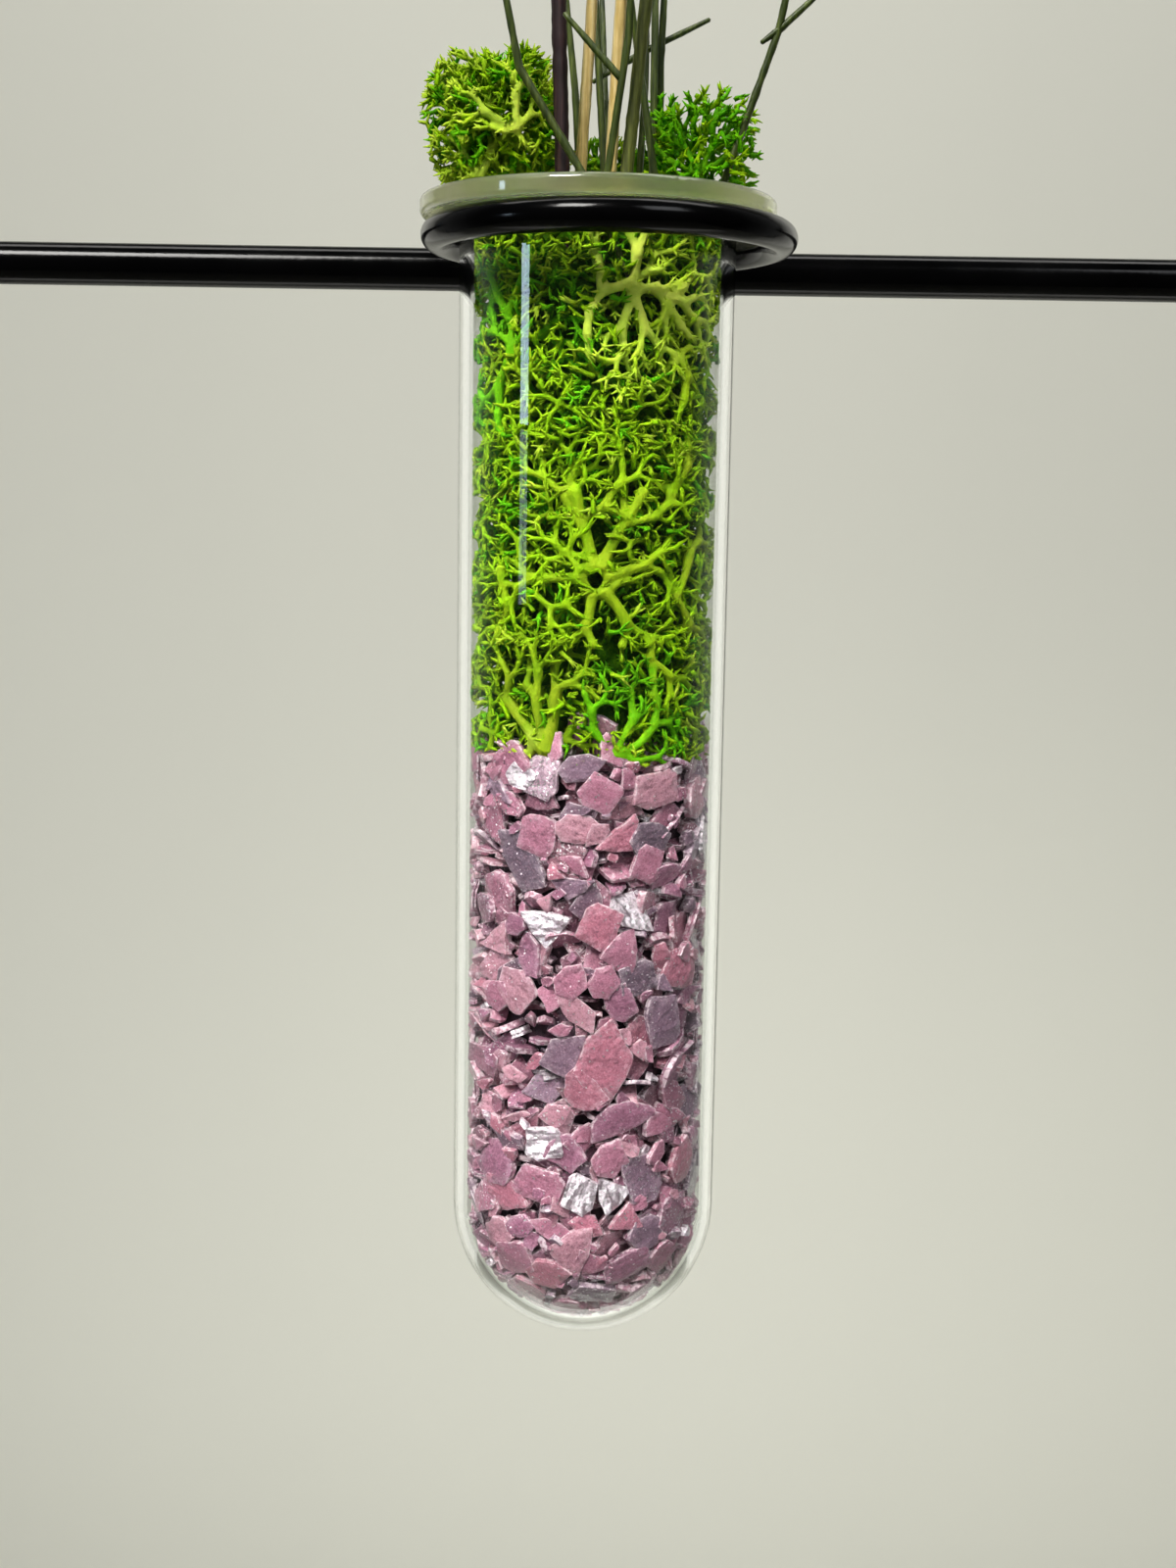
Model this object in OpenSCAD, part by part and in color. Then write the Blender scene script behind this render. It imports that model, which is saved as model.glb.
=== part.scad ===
// Wall vase: a round-bottomed glass test tube that hangs by its lip in a wire ring.
// The ring is welded to a bent rod rail with two screw tabs. The tube holds a bed of
// flat stone chips, a packing of forked lichen moss and a spray of dry stems.
//
// The wall is the plane y = 0 and the room is on the -Y side. Z is up.
// The origin is on the wall, midway between the two screw holes.

/* [Glass tube] */
// Outside diameter of the tube
tube_d = 30; // [24:0.5:40]
// Thickness of the glass
tube_wall = 1.2; // [0.8:0.1:2]
// Length of the tube below its lip
tube_len = 125; // [105:1:160]
// How far the lip stands out past the tube
lip_out = 4.3; // [3.5:0.1:6]
// Thickness of the lip
lip_t = 2.2; // [1.6:0.1:3.5]
// Rounding of the lip's edge
lip_edge = 0.7; // [0.4:0.05:0.8]
// Fillet between the lip and the tube
lip_fillet = 1; // [0.6:0.1:1.4]

/* [Ring and rail] */
// Diameter of the ring's wire
wire_d = 3.5; // [2.5:0.1:5]
// Width of the ring's opening beyond the tube
ring_play = 3.8; // [2.6:0.1:5]
// Diameter of the rail's rod
rail_d = 5; // [4:0.1:7]
// Height of the ring's axis above the rail's axis
ring_rise = 0.9; // [0:0.1:1.5]
// Depth that the weld sinks the ring into the rail
weld_bite = 0.3; // [0.15:0.05:0.5]
// Radius of the rail's end bends
bend_r = 8; // [6:0.5:12]
// Clear space between the rail and the wall
wall_gap = 10; // [6:0.5:20]

/* [Wall tabs] */
// Distance between the screw holes
screw_span = 170; // [130:1:260]
// Width of a tab
tab_w = 12; // [10:0.5:18]
// Thickness of a tab
tab_t = 2; // [1.5:0.1:3]
// Height of a screw hole above the rail's axis
tab_rise = 11; // [9:0.5:16]
// Diameter of a screw hole
screw_d = 4.5; // [3:0.1:6]

/* [Stone chips] */
// Depth of the bed of chips
bed_h = 67; // [50:1:75]
// Width of a chip
chip_w = 5.2; // [4:0.1:7]
// Height of a chip
chip_h = 4.5; // [3.5:0.1:6]
// Thickness of a chip
chip_t = 1; // [0.7:0.05:1.3]
// Depth of the outer layer that the chips lie in
chip_layer = 2.2; // [1.9:0.1:3]

/* [Moss] */
// Thickness of a moss stalk
stalk_d = 1.7; // [1.2:0.1:2.4]
// Length of a moss stalk up to its first fork
stalk_len = 3.4; // [2.6:0.1:4.5]
// Width of the left tuft above the lip
left_tuft_d = 12.4; // [9:0.1:15]
// Width of the right tuft above the lip
right_tuft_d = 9.6; // [7:0.1:12]
// Width of the back tuft above the lip
back_tuft_d = 7.4; // [5:0.1:10]

/* [Stems] */
// Height of the spray above the lip
spray_h = 62; // [40:1:90]
// Depth that the stems reach into the moss
stem_depth = 22; // [12:1:30]
// Diameter of the dark stick
stick_d = 1.4; // [1:0.1:2]
// Diameter of a straw
straw_d = 1.25; // [0.9:0.05:1.8]
// Diameter of the thick green stem
green_d = 1.4; // [1:0.1:2]
// Diameter of a thin green stem
blade_d = 0.8; // [0.6:0.05:1.2]

/* [Hidden] */
// Overrun of every cut
over = 1;
// Gap under the lip, where the tube hangs on its ring
seat_gap = 0.08;
// Gap between the glass and what it holds
fill_gap = 0.3;
// Gap between neighbouring moss wads, and between the moss and the chips
wad_gap = 0.3;
// Gap around a stem in the moss
stem_gap = 0.12;
// Gap between neighbouring chips
chip_gap = 0.3;
// Largest tilt of a chip out of its layer
chip_tilt = 5;
// Scatter of the bounds between chips, and of a chip's thickness, as shares of a chip
cell_scatter_share = 0.2;
chip_scatter_share = 0.2;
// Waviness of the bed's top, as a share of its height, and the most that its two waves add up to
bed_wave_share = 0.014;
bed_wave_peak = 1.5;
// Where a chip's corner is broken off on its two sides, how much that varies, and the least that is broken
chip_cut_shares = [0.2, 0.24];
cut_scatter_shares = [0.22, 0.18];
least_cut_share = 0.1;
// How much of its place a chip of the dome fills
dome_chip_share = 0.94;
// Hole in the middle of the lid, as a share of a chip, how much of its place a chip of the lid fills across
// and round its ring, and how deep it is sunk
lid_hole_share = 1 / 6;
lid_chip_share = 0.8;
lid_turn_share = 0.9;
lid_sunk_share = 0.8;
// Beads that span one lobe of moss, and the turn from each to the next
lobe_beads = 16;
golden_turn = 137.5;
// Squareness of a lobe, as two powers, and how much its width varies
lobe_powers = [4, 0.22];
lobe_scatter_share = 0.05;
// Three lobes make a lump: how far each stands out, its width, and how much shorter it is, as shares of the
// lump, and the swing of each about the axis
lobe_out_share = 0.17;
lobe_width_share = 0.7;
lobe_short_share = 0.08;
lobe_swing_angle = 40;
// Width of a wad's solid middle, as a share of the wad
pith_share = 0.74;
// How far in from a tuft's centre its foot stands in the mouth
foot_in_share = 0.62;
// Width and height of that foot, as shares of the tuft
foot_width_share = 0.8;
foot_rise_share = 0.3;
// Distance between neighbouring fronds' roots, how much that varies, and how deep in the pith they start
frond_pitch = 9;
frond_scatter_share = 0.2;
frond_root_share = 0.8;
// Largest swing of a frond's heading off the upright
frond_swing_angle = 50;
// Stalks that stand out from a tuft, how far out they start, their length, and how high the first one points
tuft_stalks = 16;
stalk_root_share = 0.3;
stalk_short_share = 0.75;
first_rise_share = 0.3;
// Angle by which each branch of a fork turns off, and how much that varies
fork_angle = 34;
fork_scatter = 9;
// Length and thickness of a branch, and how deep it is sunk in its fork, as shares of the stalk before it
fork_shrink_share = 0.8;
fork_thin_share = 0.8;
sunk_share = 0.5;
// Upright part of the line that a fork's hinge is square to
hinge_rise_share = 0.31;
// Places along a branch where its distance to the stems is measured
probe_shares = [0.1, 0.4, 0.7, 1];
// Share of the play by which the tube hangs off centre
shift_share = 0.32;

tube_r = tube_d / 2;
bore_r = tube_r - tube_wall;
lip_r = tube_r + lip_out;
fill_r = bore_r - fill_gap;
dome_z = tube_r - tube_len;
floor_z = dome_z - fill_r;
bed_z = floor_z + bed_h;
ring_r = tube_r + (ring_play + wire_d) / 2;
rail_y = -wall_gap - rail_d / 2;
rail_z = -tab_rise;
weld_reach = (wire_d + rail_d) / 2 - weld_bite;
ring_y = rail_y - sqrt(weld_reach * weld_reach - ring_rise * ring_rise) - ring_r;
ring_z = rail_z + ring_rise;
lip_z = ring_z + wire_d / 2 + seat_gap;
tube_x = -ring_play * shift_share;
bed_crest = bed_wave_peak * bed_wave_share * (bed_z - dome_z);
bed_rows = max(1, round((bed_h + floor_z - dome_z) / chip_h));
dome_rows = max(1, round(fill_r * PI / 2 / chip_h));
row_chips = max(6, round(2 * PI * fill_r / chip_w));

smooth = 96;
mid_smooth = 48;
moss_smooth = 32;
pith_sides = 9;
stem_sides = 6;
frond_sides = 3;
// First seeds of the scatter of each kind of piece, and the step from one row to the next
dome_seed = 700;
lid_seed = 1500;
tuft_seed = 40;
foot_seed = 50;
stalk_seed = 900;
row_seed = 40;
wad_seed = 300;
frond_seed = 20;

ring_black = [0.05, 0.05, 0.06];
glass_tint = [0.86, 0.92, 0.88, 0.35];
chip_pinks = [[0.62, 0.42, 0.5], [0.55, 0.38, 0.48], [0.68, 0.5, 0.56], [0.5, 0.4, 0.48], [0.6, 0.45, 0.52]];
moss_greens = [[0.45, 0.68, 0.1], [0.38, 0.62, 0.1], [0.52, 0.72, 0.15]];

chip_nodes = ["chips_top", "chips_upper", "chips_middle", "chips_lower", "chips_bottom"];
wad_nodes = [
    "moss_upper_left", "moss_upper_right", "moss_middle", "moss_star", "moss_low_left", "moss_low_right"
];
tuft_nodes = ["moss_tuft_left", "moss_tuft_right", "moss_tuft_back"];
stem_nodes = [
    "stick_dark", "straw_left", "straw_right", "green_thick", "green_forked", "green_cross", "green_back_left",
    "green_back_mid", "green_back_right", "green_pair_left", "green_pair_right", "green_low_right",
    "green_far_left", "green_far_right"
];

// Places of the wads: bottom and top as shares of the packing's height, and the side (-1 left, 1 right, 0 whole)
wad_shares = [[0.6, 1, -1], [0.57, 1, 1], [0.385, 0.57, 0], [0.195, 0.385, 0], [0, 0.195, -1], [0, 0.195, 1]];
// Centres of the tufts: across and towards the wall as shares of the mouth's radius, up as a share of its width
tuft_shares = [[-0.77, -0.08, 0.62], [0.86, 0.12, 0.64], [0.1, 0.66, 0.46]];
// Routes of the stems, as foot, mouth, middle and tip, each across and towards the wall as shares of the
// mouth's radius, and the tip's height as a share of the spray
stem_shares = [
    [[-0.16, -0.42], [-0.27, -0.58], [-0.32, -0.6], [-0.44, -0.72], 0.96],
    [[-0.2, -0.3], [-0.15, -0.32], [-0.08, -0.3], [0.02, -0.4], 0.86],
    [[0.02, -0.04], [0.08, -0.12], [0.15, -0.14], [0.3, -0.1], 1],
    [[0.1, -0.5], [0.19, -0.66], [0.32, -0.7], [0.55, -0.78], 0.9],
    [[0.02, -0.62], [0.05, -0.8], [0.2, -0.86], [0.28, -1.05], 0.74],
    [[0.3, 0.2], [0.31, 0.3], [0.36, 0.38], [0.36, 0.6], 0.7],
    [[-0.1, 0.3], [-0.14, 0.36], [-0.2, 0.4], [-0.42, 0.5], 0.66],
    [[0.1, 0.12], [0.06, 0.22], [-0.02, 0.3], [-0.16, 0.52], 0.8],
    [[0.14, 0.42], [0.16, 0.5], [0.04, 0.56], [-0.04, 0.84], 0.62],
    [[0.4, 0], [0.42, 0.1], [0.42, 0.16], [0.4, 0.3], 0.92],
    [[0.46, 0.32], [0.48, 0.32], [0.47, 0.3], [0.56, 0.4], 0.78],
    [[0.54, -0.3], [0.45, -0.3], [0.32, -0.3], [0.04, -0.44], 0.6],
    [[0.26, -0.8], [-0.08, -0.84], [-0.6, -0.86], [-0.96, -1], 0.6],
    [[0.72, -0.14], [0.92, -0.16], [1.36, -0.16], [1.86, -0.3], 0.88]
];
// Height of a stem's middle point, as a share of its own height above the lip
stem_mid_share = 0.36;
// Depth of a stem's foot, as a share of the stems' depth
stem_foot_shares = [0.9, 1, 0.94, 0.8, 0.6, 0.5, 0.7, 0.86, 0.6, 0.9, 0.74, 0.5, 0.36, 0.4];
stem_ds = [
    stick_d, straw_d, straw_d, green_d, blade_d, blade_d, blade_d,
    blade_d, blade_d, blade_d, blade_d, blade_d, blade_d, blade_d
];
// Thickness of a stem's foot and tip, as shares of its diameter
foot_share = 0.7;
tip_share = 0.45;
// Thickness of a side shoot's ends, as shares of its stem's diameter
shoot_thin_shares = [0.9, 0.75];
// Side shoots: the stem that carries it, where it leaves and ends along that stem's height, and how far
// it goes across and towards the wall, as shares of the mouth's radius
shoot_shares = [
    [4, 0.27, 0.41, -0.43, 0.02],
    [5, 0.44, 0.52, 0.5, 0.04],
    [5, 0.44, 0.36, -0.42, -0.02],
    [13, 0.36, 0.44, 0.34, 0.04],
    [13, 0.36, 0.335, -0.13, -0.02]
];

// A value from -1 to 1 that depends only on its three counts
function scatter(a, b, c) = rands(-1, 1, 1, 17 * a + 131 * b + 911 * c + 5)[0];
function unit(v) = v / norm(v);
function spun(v, axis, angle) =
    v * cos(angle) + cross(axis, v) * sin(angle) + axis * (axis * v) * (1 - cos(angle));

// Straight-sided tube through the points, with a radius at each, as one closed skin
module sweep_tube(points, radii, sides) {
    last = len(points) - 1;
    tangents = [
        for (i = [0:last]) unit(points[min(i + 1, last)] - points[max(i - 1, 0)])
    ];
    corners = [
        for (i = [0:last])
            let (u = unit(cross(tangents[i], [0, 1, 0])), v = cross(tangents[i], u))
            for (k = [0:sides - 1])
                points[i] + radii[i] * (u * cos(k * 360 / sides) + v * sin(k * 360 / sides))
    ];
    walls = [
        for (i = [0:last - 1], k = [0:sides - 1])
            let (n = (k + 1) % sides, a = i * sides + k, b = i * sides + n)
            each [[a, b + sides, b], [a, a + sides, b + sides]]
    ];
    foot = [for (k = [1:sides - 2]) [0, k, k + 1]];
    tip = [for (k = [1:sides - 2]) [last * sides, last * sides + k + 1, last * sides + k]];
    polyhedron(points = corners, faces = concat(walls, foot, tip), convexity = 4);
}

// Moves what it holds to the tube: the axis of the tube at the underside of its lip
module at_tube() {
    translate([tube_x, ring_y, lip_z]) children();
}

// Rail: one rod, bent back to the wall at both ends
module rail() {
    half = screw_span / 2;
    straight = screw_span - 2 * bend_r;
    leg = -rail_y - bend_r - tab_t;
    color(ring_black)
        translate([0, rail_y, rail_z]) {
            rotate([0, 90, 0]) cylinder(d = rail_d, h = straight, center = true, $fn = mid_smooth);
            for (side = [0, 1]) mirror([side, 0, 0]) {
                translate([half - bend_r, bend_r, 0])
                    rotate([0, 0, -90])
                        rotate_extrude(angle = 90, $fn = smooth)
                            translate([bend_r, 0]) circle(d = rail_d, $fn = mid_smooth);
                translate([half, bend_r, 0])
                    rotate([-90, 0, 0]) cylinder(d = rail_d, h = leg, $fn = mid_smooth);
            }
        }
}

// Screw tab: a flat round-ended plate that the rail's leg is welded to
module tab(side) {
    color(ring_black)
        translate([side * screw_span / 2, 0, rail_z])
            rotate([90, 0, 0])
                linear_extrude(tab_t) difference() {
                    union() {
                        circle(d = tab_w, $fn = mid_smooth);
                        translate([-tab_w / 2, 0]) square([tab_w, tab_rise]);
                        translate([0, tab_rise]) circle(d = tab_w, $fn = mid_smooth);
                    }
                    translate([0, tab_rise]) circle(d = screw_d, $fn = mid_smooth);
                }
}

// Ring: a closed wire ring whose back is sunk into the rail by its weld
module ring() {
    color(ring_black) difference() {
        translate([0, ring_y, ring_z])
            rotate_extrude($fn = smooth) translate([ring_r, 0]) circle(d = wire_d, $fn = mid_smooth);
        translate([0, rail_y, rail_z])
            rotate([0, 90, 0]) cylinder(d = rail_d, h = ring_r, center = true, $fn = mid_smooth);
    }
}

// Half outline of a round-bottomed tube of radius r, from z = 0 down
module tube_outline(r, top) {
    intersection() {
        translate([0, dome_z - r - over]) square([r + over, top - dome_z + r + over]);
        union() {
            translate([0, dome_z]) circle(r, $fn = smooth);
            translate([0, dome_z]) square([r, top - dome_z]);
        }
    }
}

// Half outline of the lip, with a rounded edge and a fillet under it
module lip_outline() {
    square([lip_r - lip_edge, lip_t]);
    translate([0, lip_edge]) square([lip_r, lip_t - 2 * lip_edge]);
    for (z = [lip_edge, lip_t - lip_edge])
        translate([lip_r - lip_edge, z]) circle(lip_edge, $fn = mid_smooth);
    translate([tube_r, -lip_fillet]) difference() {
        square(lip_fillet);
        translate([lip_fillet, 0]) circle(lip_fillet, $fn = mid_smooth);
    }
}

// Glass tube: test tube with a flat lip
module glass_tube() {
    color(glass_tint) at_tube() rotate_extrude($fn = smooth) difference() {
        union() {
            tube_outline(tube_r, lip_t);
            lip_outline();
        }
        tube_outline(bore_r, lip_t + over);
    }
}

// Core of the bed of chips: what lies buried behind the outer layer
module gravel_core() {
    core_r = fill_r - chip_layer;
    color(chip_pinks[3]) at_tube() rotate_extrude($fn = smooth)
        tube_outline(core_r, bed_z - bed_crest - chip_layer);
}

// Height on the bed's side at a share of its depth above the dome: the bed's top is a little wavy
function bed_side_z(share, turn) =
    dome_z + (bed_z - dome_z) * share * (1 + bed_wave_share * (sin(2 * turn + 60) + sin(3 * turn) / 2));

// Boundary between two rows of chips, and between two chips in a row, each with some scatter
function row_share(row) =
    (row <= 0 || row >= bed_rows ? row : row + cell_scatter_share * scatter(row, 1, 30)) / bed_rows;
function cell_turn(row, k) =
    (k + (row % 2) / 2 + cell_scatter_share * scatter(row, k % row_chips, 31)) * 360 / row_chips;

// Outline of a chip in a four-cornered cell: each corner broken off by its own amount
function chip_outline(cell, seed) =
    let (
        middle = (cell[0] + cell[1] + cell[2] + cell[3]) / 4,
        shrink = 1 - chip_gap / min(norm(cell[1] - cell[0]), norm(cell[3] - cell[0]))
    )
    [
        for (k = [0:3])
            let (
                cuts = [
                    for (side = [0, 1])
                        chip_cut_shares[side] + scatter(seed, k, 4 + side) * cut_scatter_shares[side]
                ],
                before = cell[k] + (cell[(k + 3) % 4] - cell[k]) * cuts[0],
                after = cell[k] + (cell[(k + 1) % 4] - cell[k]) * cuts[1]
            )
            each [
                for (c = cuts[0] < least_cut_share ? [cell[k]] : [before, after]) middle + (c - middle) * shrink
            ]
    ];

// One chip: a flat plate with its outer face on z = 0, tilted a little
module chip(cell, seed) {
    thick = chip_t * (1 + scatter(seed, 3, 0) * chip_scatter_share);
    rotate([chip_tilt * scatter(seed, 1, 0), chip_tilt * scatter(seed, 2, 0), 0])
        translate([0, 0, -thick]) linear_extrude(thick) polygon(chip_outline(cell, seed));
}

// Row of chips round the straight part of the bed
module chip_row(row) {
    for (k = [0:row_chips - 1]) {
        turns = [cell_turn(row, k), cell_turn(row, k + 1)];
        turn = (turns[0] + turns[1]) / 2;
        half = (turns[1] - turns[0]) / 2;
        face_r = fill_r * cos(half) - chip_t * tan(chip_tilt) * 2;
        span = (face_r - chip_t) * tan(half);
        shares = [row_share(row), row_share(row + 1)];
        middle_z = bed_side_z((shares[0] + shares[1]) / 2, turn);
        rotate([0, 0, turn]) translate([face_r, 0, middle_z]) rotate([90, 0, 90])
            chip([
                [-span, bed_side_z(shares[0], turns[0]) - middle_z],
                [span, bed_side_z(shares[0], turns[1]) - middle_z],
                [span, bed_side_z(shares[1], turns[1]) - middle_z],
                [-span, bed_side_z(shares[1], turns[0]) - middle_z]
            ], row_seed * row + k);
    }
}

// Row of chips round the dome, at a polar angle from the bottom
module dome_row(row) {
    step = 90 / dome_rows;
    polar = 90 - (row + 0.5) * step;
    in_r = fill_r - 2 * chip_t;
    count = max(4, round(2 * PI * fill_r * sin(polar) / chip_w));
    high = in_r * tan(step / 2);
    wide = [
        for (side = [-1, 1])
            in_r * sin(max(polar + side * step / 2, step / 4)) * tan(180 / count) * dome_chip_share
    ];
    face_r = sqrt(fill_r * fill_r - high * high - wide[1] * wide[1]) - chip_t * tan(chip_tilt) * 2;
    for (k = [0:count - 1])
        rotate([0, 0, (k + (row % 2) / 2) * 360 / count])
            translate([0, 0, dome_z]) rotate([0, 180 - polar, 0]) translate([0, 0, face_r]) rotate([0, 0, 90])
                chip(
                    [[-wide[1], -high], [wide[1], -high], [wide[0], high], [-wide[0], high]],
                    dome_seed + row_seed * row + k
                );
}

// Flat chips on top of the bed, in rings
module chip_lid() {
    rings = max(1, floor(fill_r / chip_w));
    ring_w = (fill_r - chip_layer - chip_w * lid_hole_share) / rings;
    for (ring = [1:rings]) {
        in_r = (ring - 1) * ring_w + chip_w * lid_hole_share;
        count = max(3, floor(2 * PI * (in_r + ring_w / 2) / chip_w));
        for (k = [0:count - 1]) {
            turn = (k + ring / 2) * 360 / count;
            spans = [
                in_r * tan(180 / count),
                (in_r + ring_w * lid_chip_share) * tan(180 / count) * lid_turn_share
            ];
            half_w = ring_w * lid_chip_share / 2;
            dish_z = bed_z - bed_crest + (bed_side_z(1, turn) - bed_z + bed_crest) * (in_r + half_w) / fill_r;
            rotate([0, 0, turn])
                translate([in_r + half_w, 0, dish_z - chip_t * lid_sunk_share])
                    chip(
                        [[-half_w, -spans[0]], [half_w, -spans[1]], [half_w, spans[1]], [-half_w, spans[0]]],
                        lid_seed + row_seed * ring + k
                    );
        }
    }
}

// Chips of one node: the lid, three bands of rows from the top down, or the dome
module chips(band) {
    third = ceil(bed_rows / 3);
    color(chip_pinks[band]) at_tube() {
        if (band == 0) chip_lid();
        if (band >= 1 && band <= 3)
            for (row = [max(0, bed_rows - band * third):bed_rows - (band - 1) * third - 1]) chip_row(row);
        if (band == 4)
            for (row = [0:dome_rows - 1]) dome_row(row);
    }
}

function clamped(value, low, high) = min(max(value, low), high);

// Points of stem i, from its foot in the moss to its tip, in the tube's frame
function stem_points(i) =
    let (
        s = stem_shares[i],
        tip_z = spray_h * s[4],
        heights = [-stem_depth * stem_foot_shares[i], lip_t, tip_z * stem_mid_share, tip_z],
        knots = [for (k = [0:3]) [s[k][0] * bore_r, s[k][1] * bore_r, heights[k]]]
    )
    knots;

// Point at a share of stem i's height above the lip
function stem_at(i, share) =
    let (p = stem_points(i), z = share * p[3][2])
    z < p[2][2]
        ? p[1] + (p[2] - p[1]) * (z - p[1][2]) / (p[2][2] - p[1][2])
        : p[2] + (p[3] - p[2]) * (z - p[2][2]) / (p[3][2] - p[2][2]);

// Ends of side shoot n
function shoot_points(n) =
    let (
        shoot = shoot_shares[n],
        start = stem_at(shoot[0], shoot[1]),
        rise = spray_h * stem_shares[shoot[0]][4] * shoot[2]
    )
    [start, [start[0] + shoot[3] * bore_r, start[1] + shoot[4] * bore_r, rise]];

// Every straight piece of a stem or shoot, as [start, end, radius]
stem_lines = concat(
    [for (i = [0:len(stem_nodes) - 1]) let (p = stem_points(i)) for (k = [0:2]) [p[k], p[k + 1], stem_ds[i] / 2]],
    [for (n = [0:len(shoot_shares) - 1]) concat(shoot_points(n), [blade_d / 2])]
);
function line_gap(p, a, b) =
    norm(p - a - (b - a) * clamped((p - a) * (b - a) / ((b - a) * (b - a)), 0, 1));
// Whether a bar from a to b, of radius r, keeps off every stem
function clear_bar(a, b, r) =
    min([
        for (s = stem_lines, share = probe_shares)
            line_gap(a + (b - a) * share, s[0], s[1]) - s[2]
    ]) > r + 2 * stem_gap;

// Point on a shell of radius r round the tube's axis
function on_shell(turn, z, r) = [r * cos(turn), r * sin(turn), z];

// Frond that lies against the glass and forks again and again, as a list of [start, end, start radius, end
// radius]. Its heading is 0 upwards and 90 round the tube, and it stays between two heights and two turns.
function fronds(turn, z, heading, length, r, levels, seed, heights, turns) =
    let (
        tip_r = r * fork_thin_share,
        turn_b = clamped(turn + length * sin(heading) / fill_r * 180 / PI, turns[0], turns[1]),
        z_b = clamped(z + length * cos(heading), heights[0] + r, heights[1] - r),
        start = on_shell(turn, z, fill_r - r),
        end = on_shell(turn_b, z_b, fill_r - tip_r)
    )
    !clear_bar(start, end, r) ? [] : concat(
        [[start, end, r, tip_r]],
        levels == 0 ? [] : [
            for (k = [-1, 1])
                each fronds(
                    turn_b, z_b, heading + k * (fork_angle + fork_scatter * scatter(seed, 11, k)),
                    length * fork_shrink_share, tip_r, levels - 1, 2 * seed + k + 3, heights, turns
                )
        ]
    );

// Stalk that forks freely into the room, as the same kind of list
function forks(start, along, length, r, levels, seed) =
    let (
        tip_r = r * fork_thin_share,
        end = start + along * length,
        side = unit(cross(along, unit([scatter(seed, 8, 0), scatter(seed, 9, 0), hinge_rise_share]))),
        hinge = spun(side, along, 180 * scatter(seed, 10, 0))
    )
    !clear_bar(start, end, r) ? [] : concat(
        [[start, end, r, tip_r]],
        levels == 0 ? [] : [
            for (k = [-1, 1])
                each forks(
                    end, unit(spun(along, hinge, k * (fork_angle + fork_scatter * scatter(seed, 11, k)))),
                    length * fork_shrink_share, tip_r, levels - 1, 2 * seed + k + 3
                )
        ]
    );

// Draws a list of forks as tapered bars, each sunk a little into the one before
module bars(list) {
    for (b = list)
        if (norm(b[1] - b[0]) > b[3])
            sweep_tube([b[0] - unit(b[1] - b[0]) * b[2] * sunk_share, b[1]], [b[2], b[3]], frond_sides);
}

// One lobe of moss between two heights, round an upright axis
module lobe(width, z0, z1, seed) {
    bead = stalk_d / 2;
    hull()
        for (k = [0:lobe_beads - 1]) {
            up = (k + 0.5) / lobe_beads;
            swell = pow(1 - pow(abs(2 * up - 1), lobe_powers[0]), lobe_powers[1])
                * (1 + (scatter(seed, k, 12) - 1) * lobe_scatter_share);
            rotate([0, 0, k * golden_turn])
                translate([width / 2 * swell - bead, 0, z0 + bead + up * (z1 - z0 - 2 * bead)])
                    sphere(bead, $fn = 4);
        }
}

// Lumpy body of moss between two heights: three lobes that run into each other
module lump(centre_x, centre_y, width, z0, z1, seed) {
    high = z1 - z0;
    translate([centre_x, centre_y, 0])
        for (k = [0:2])
            rotate([0, 0, 120 * k + lobe_swing_angle * scatter(seed, k, 14)])
                translate([width * lobe_out_share, 0, 0])
                    lobe(
                        width * lobe_width_share,
                        z0 + high * (k == 0 ? 0 : lobe_short_share * (1 + scatter(seed, k, 15))),
                        z1 - high * (k == 1 ? 0 : lobe_short_share * (1 + scatter(seed, k, 16))), 3 * seed + k
                    );
}

// Every stem and shoot with a gap around it, cut out of the moss
module stem_room() {
    for (i = [0:len(stem_nodes) - 1]) stem_shape(i, stem_gap);
}

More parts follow.
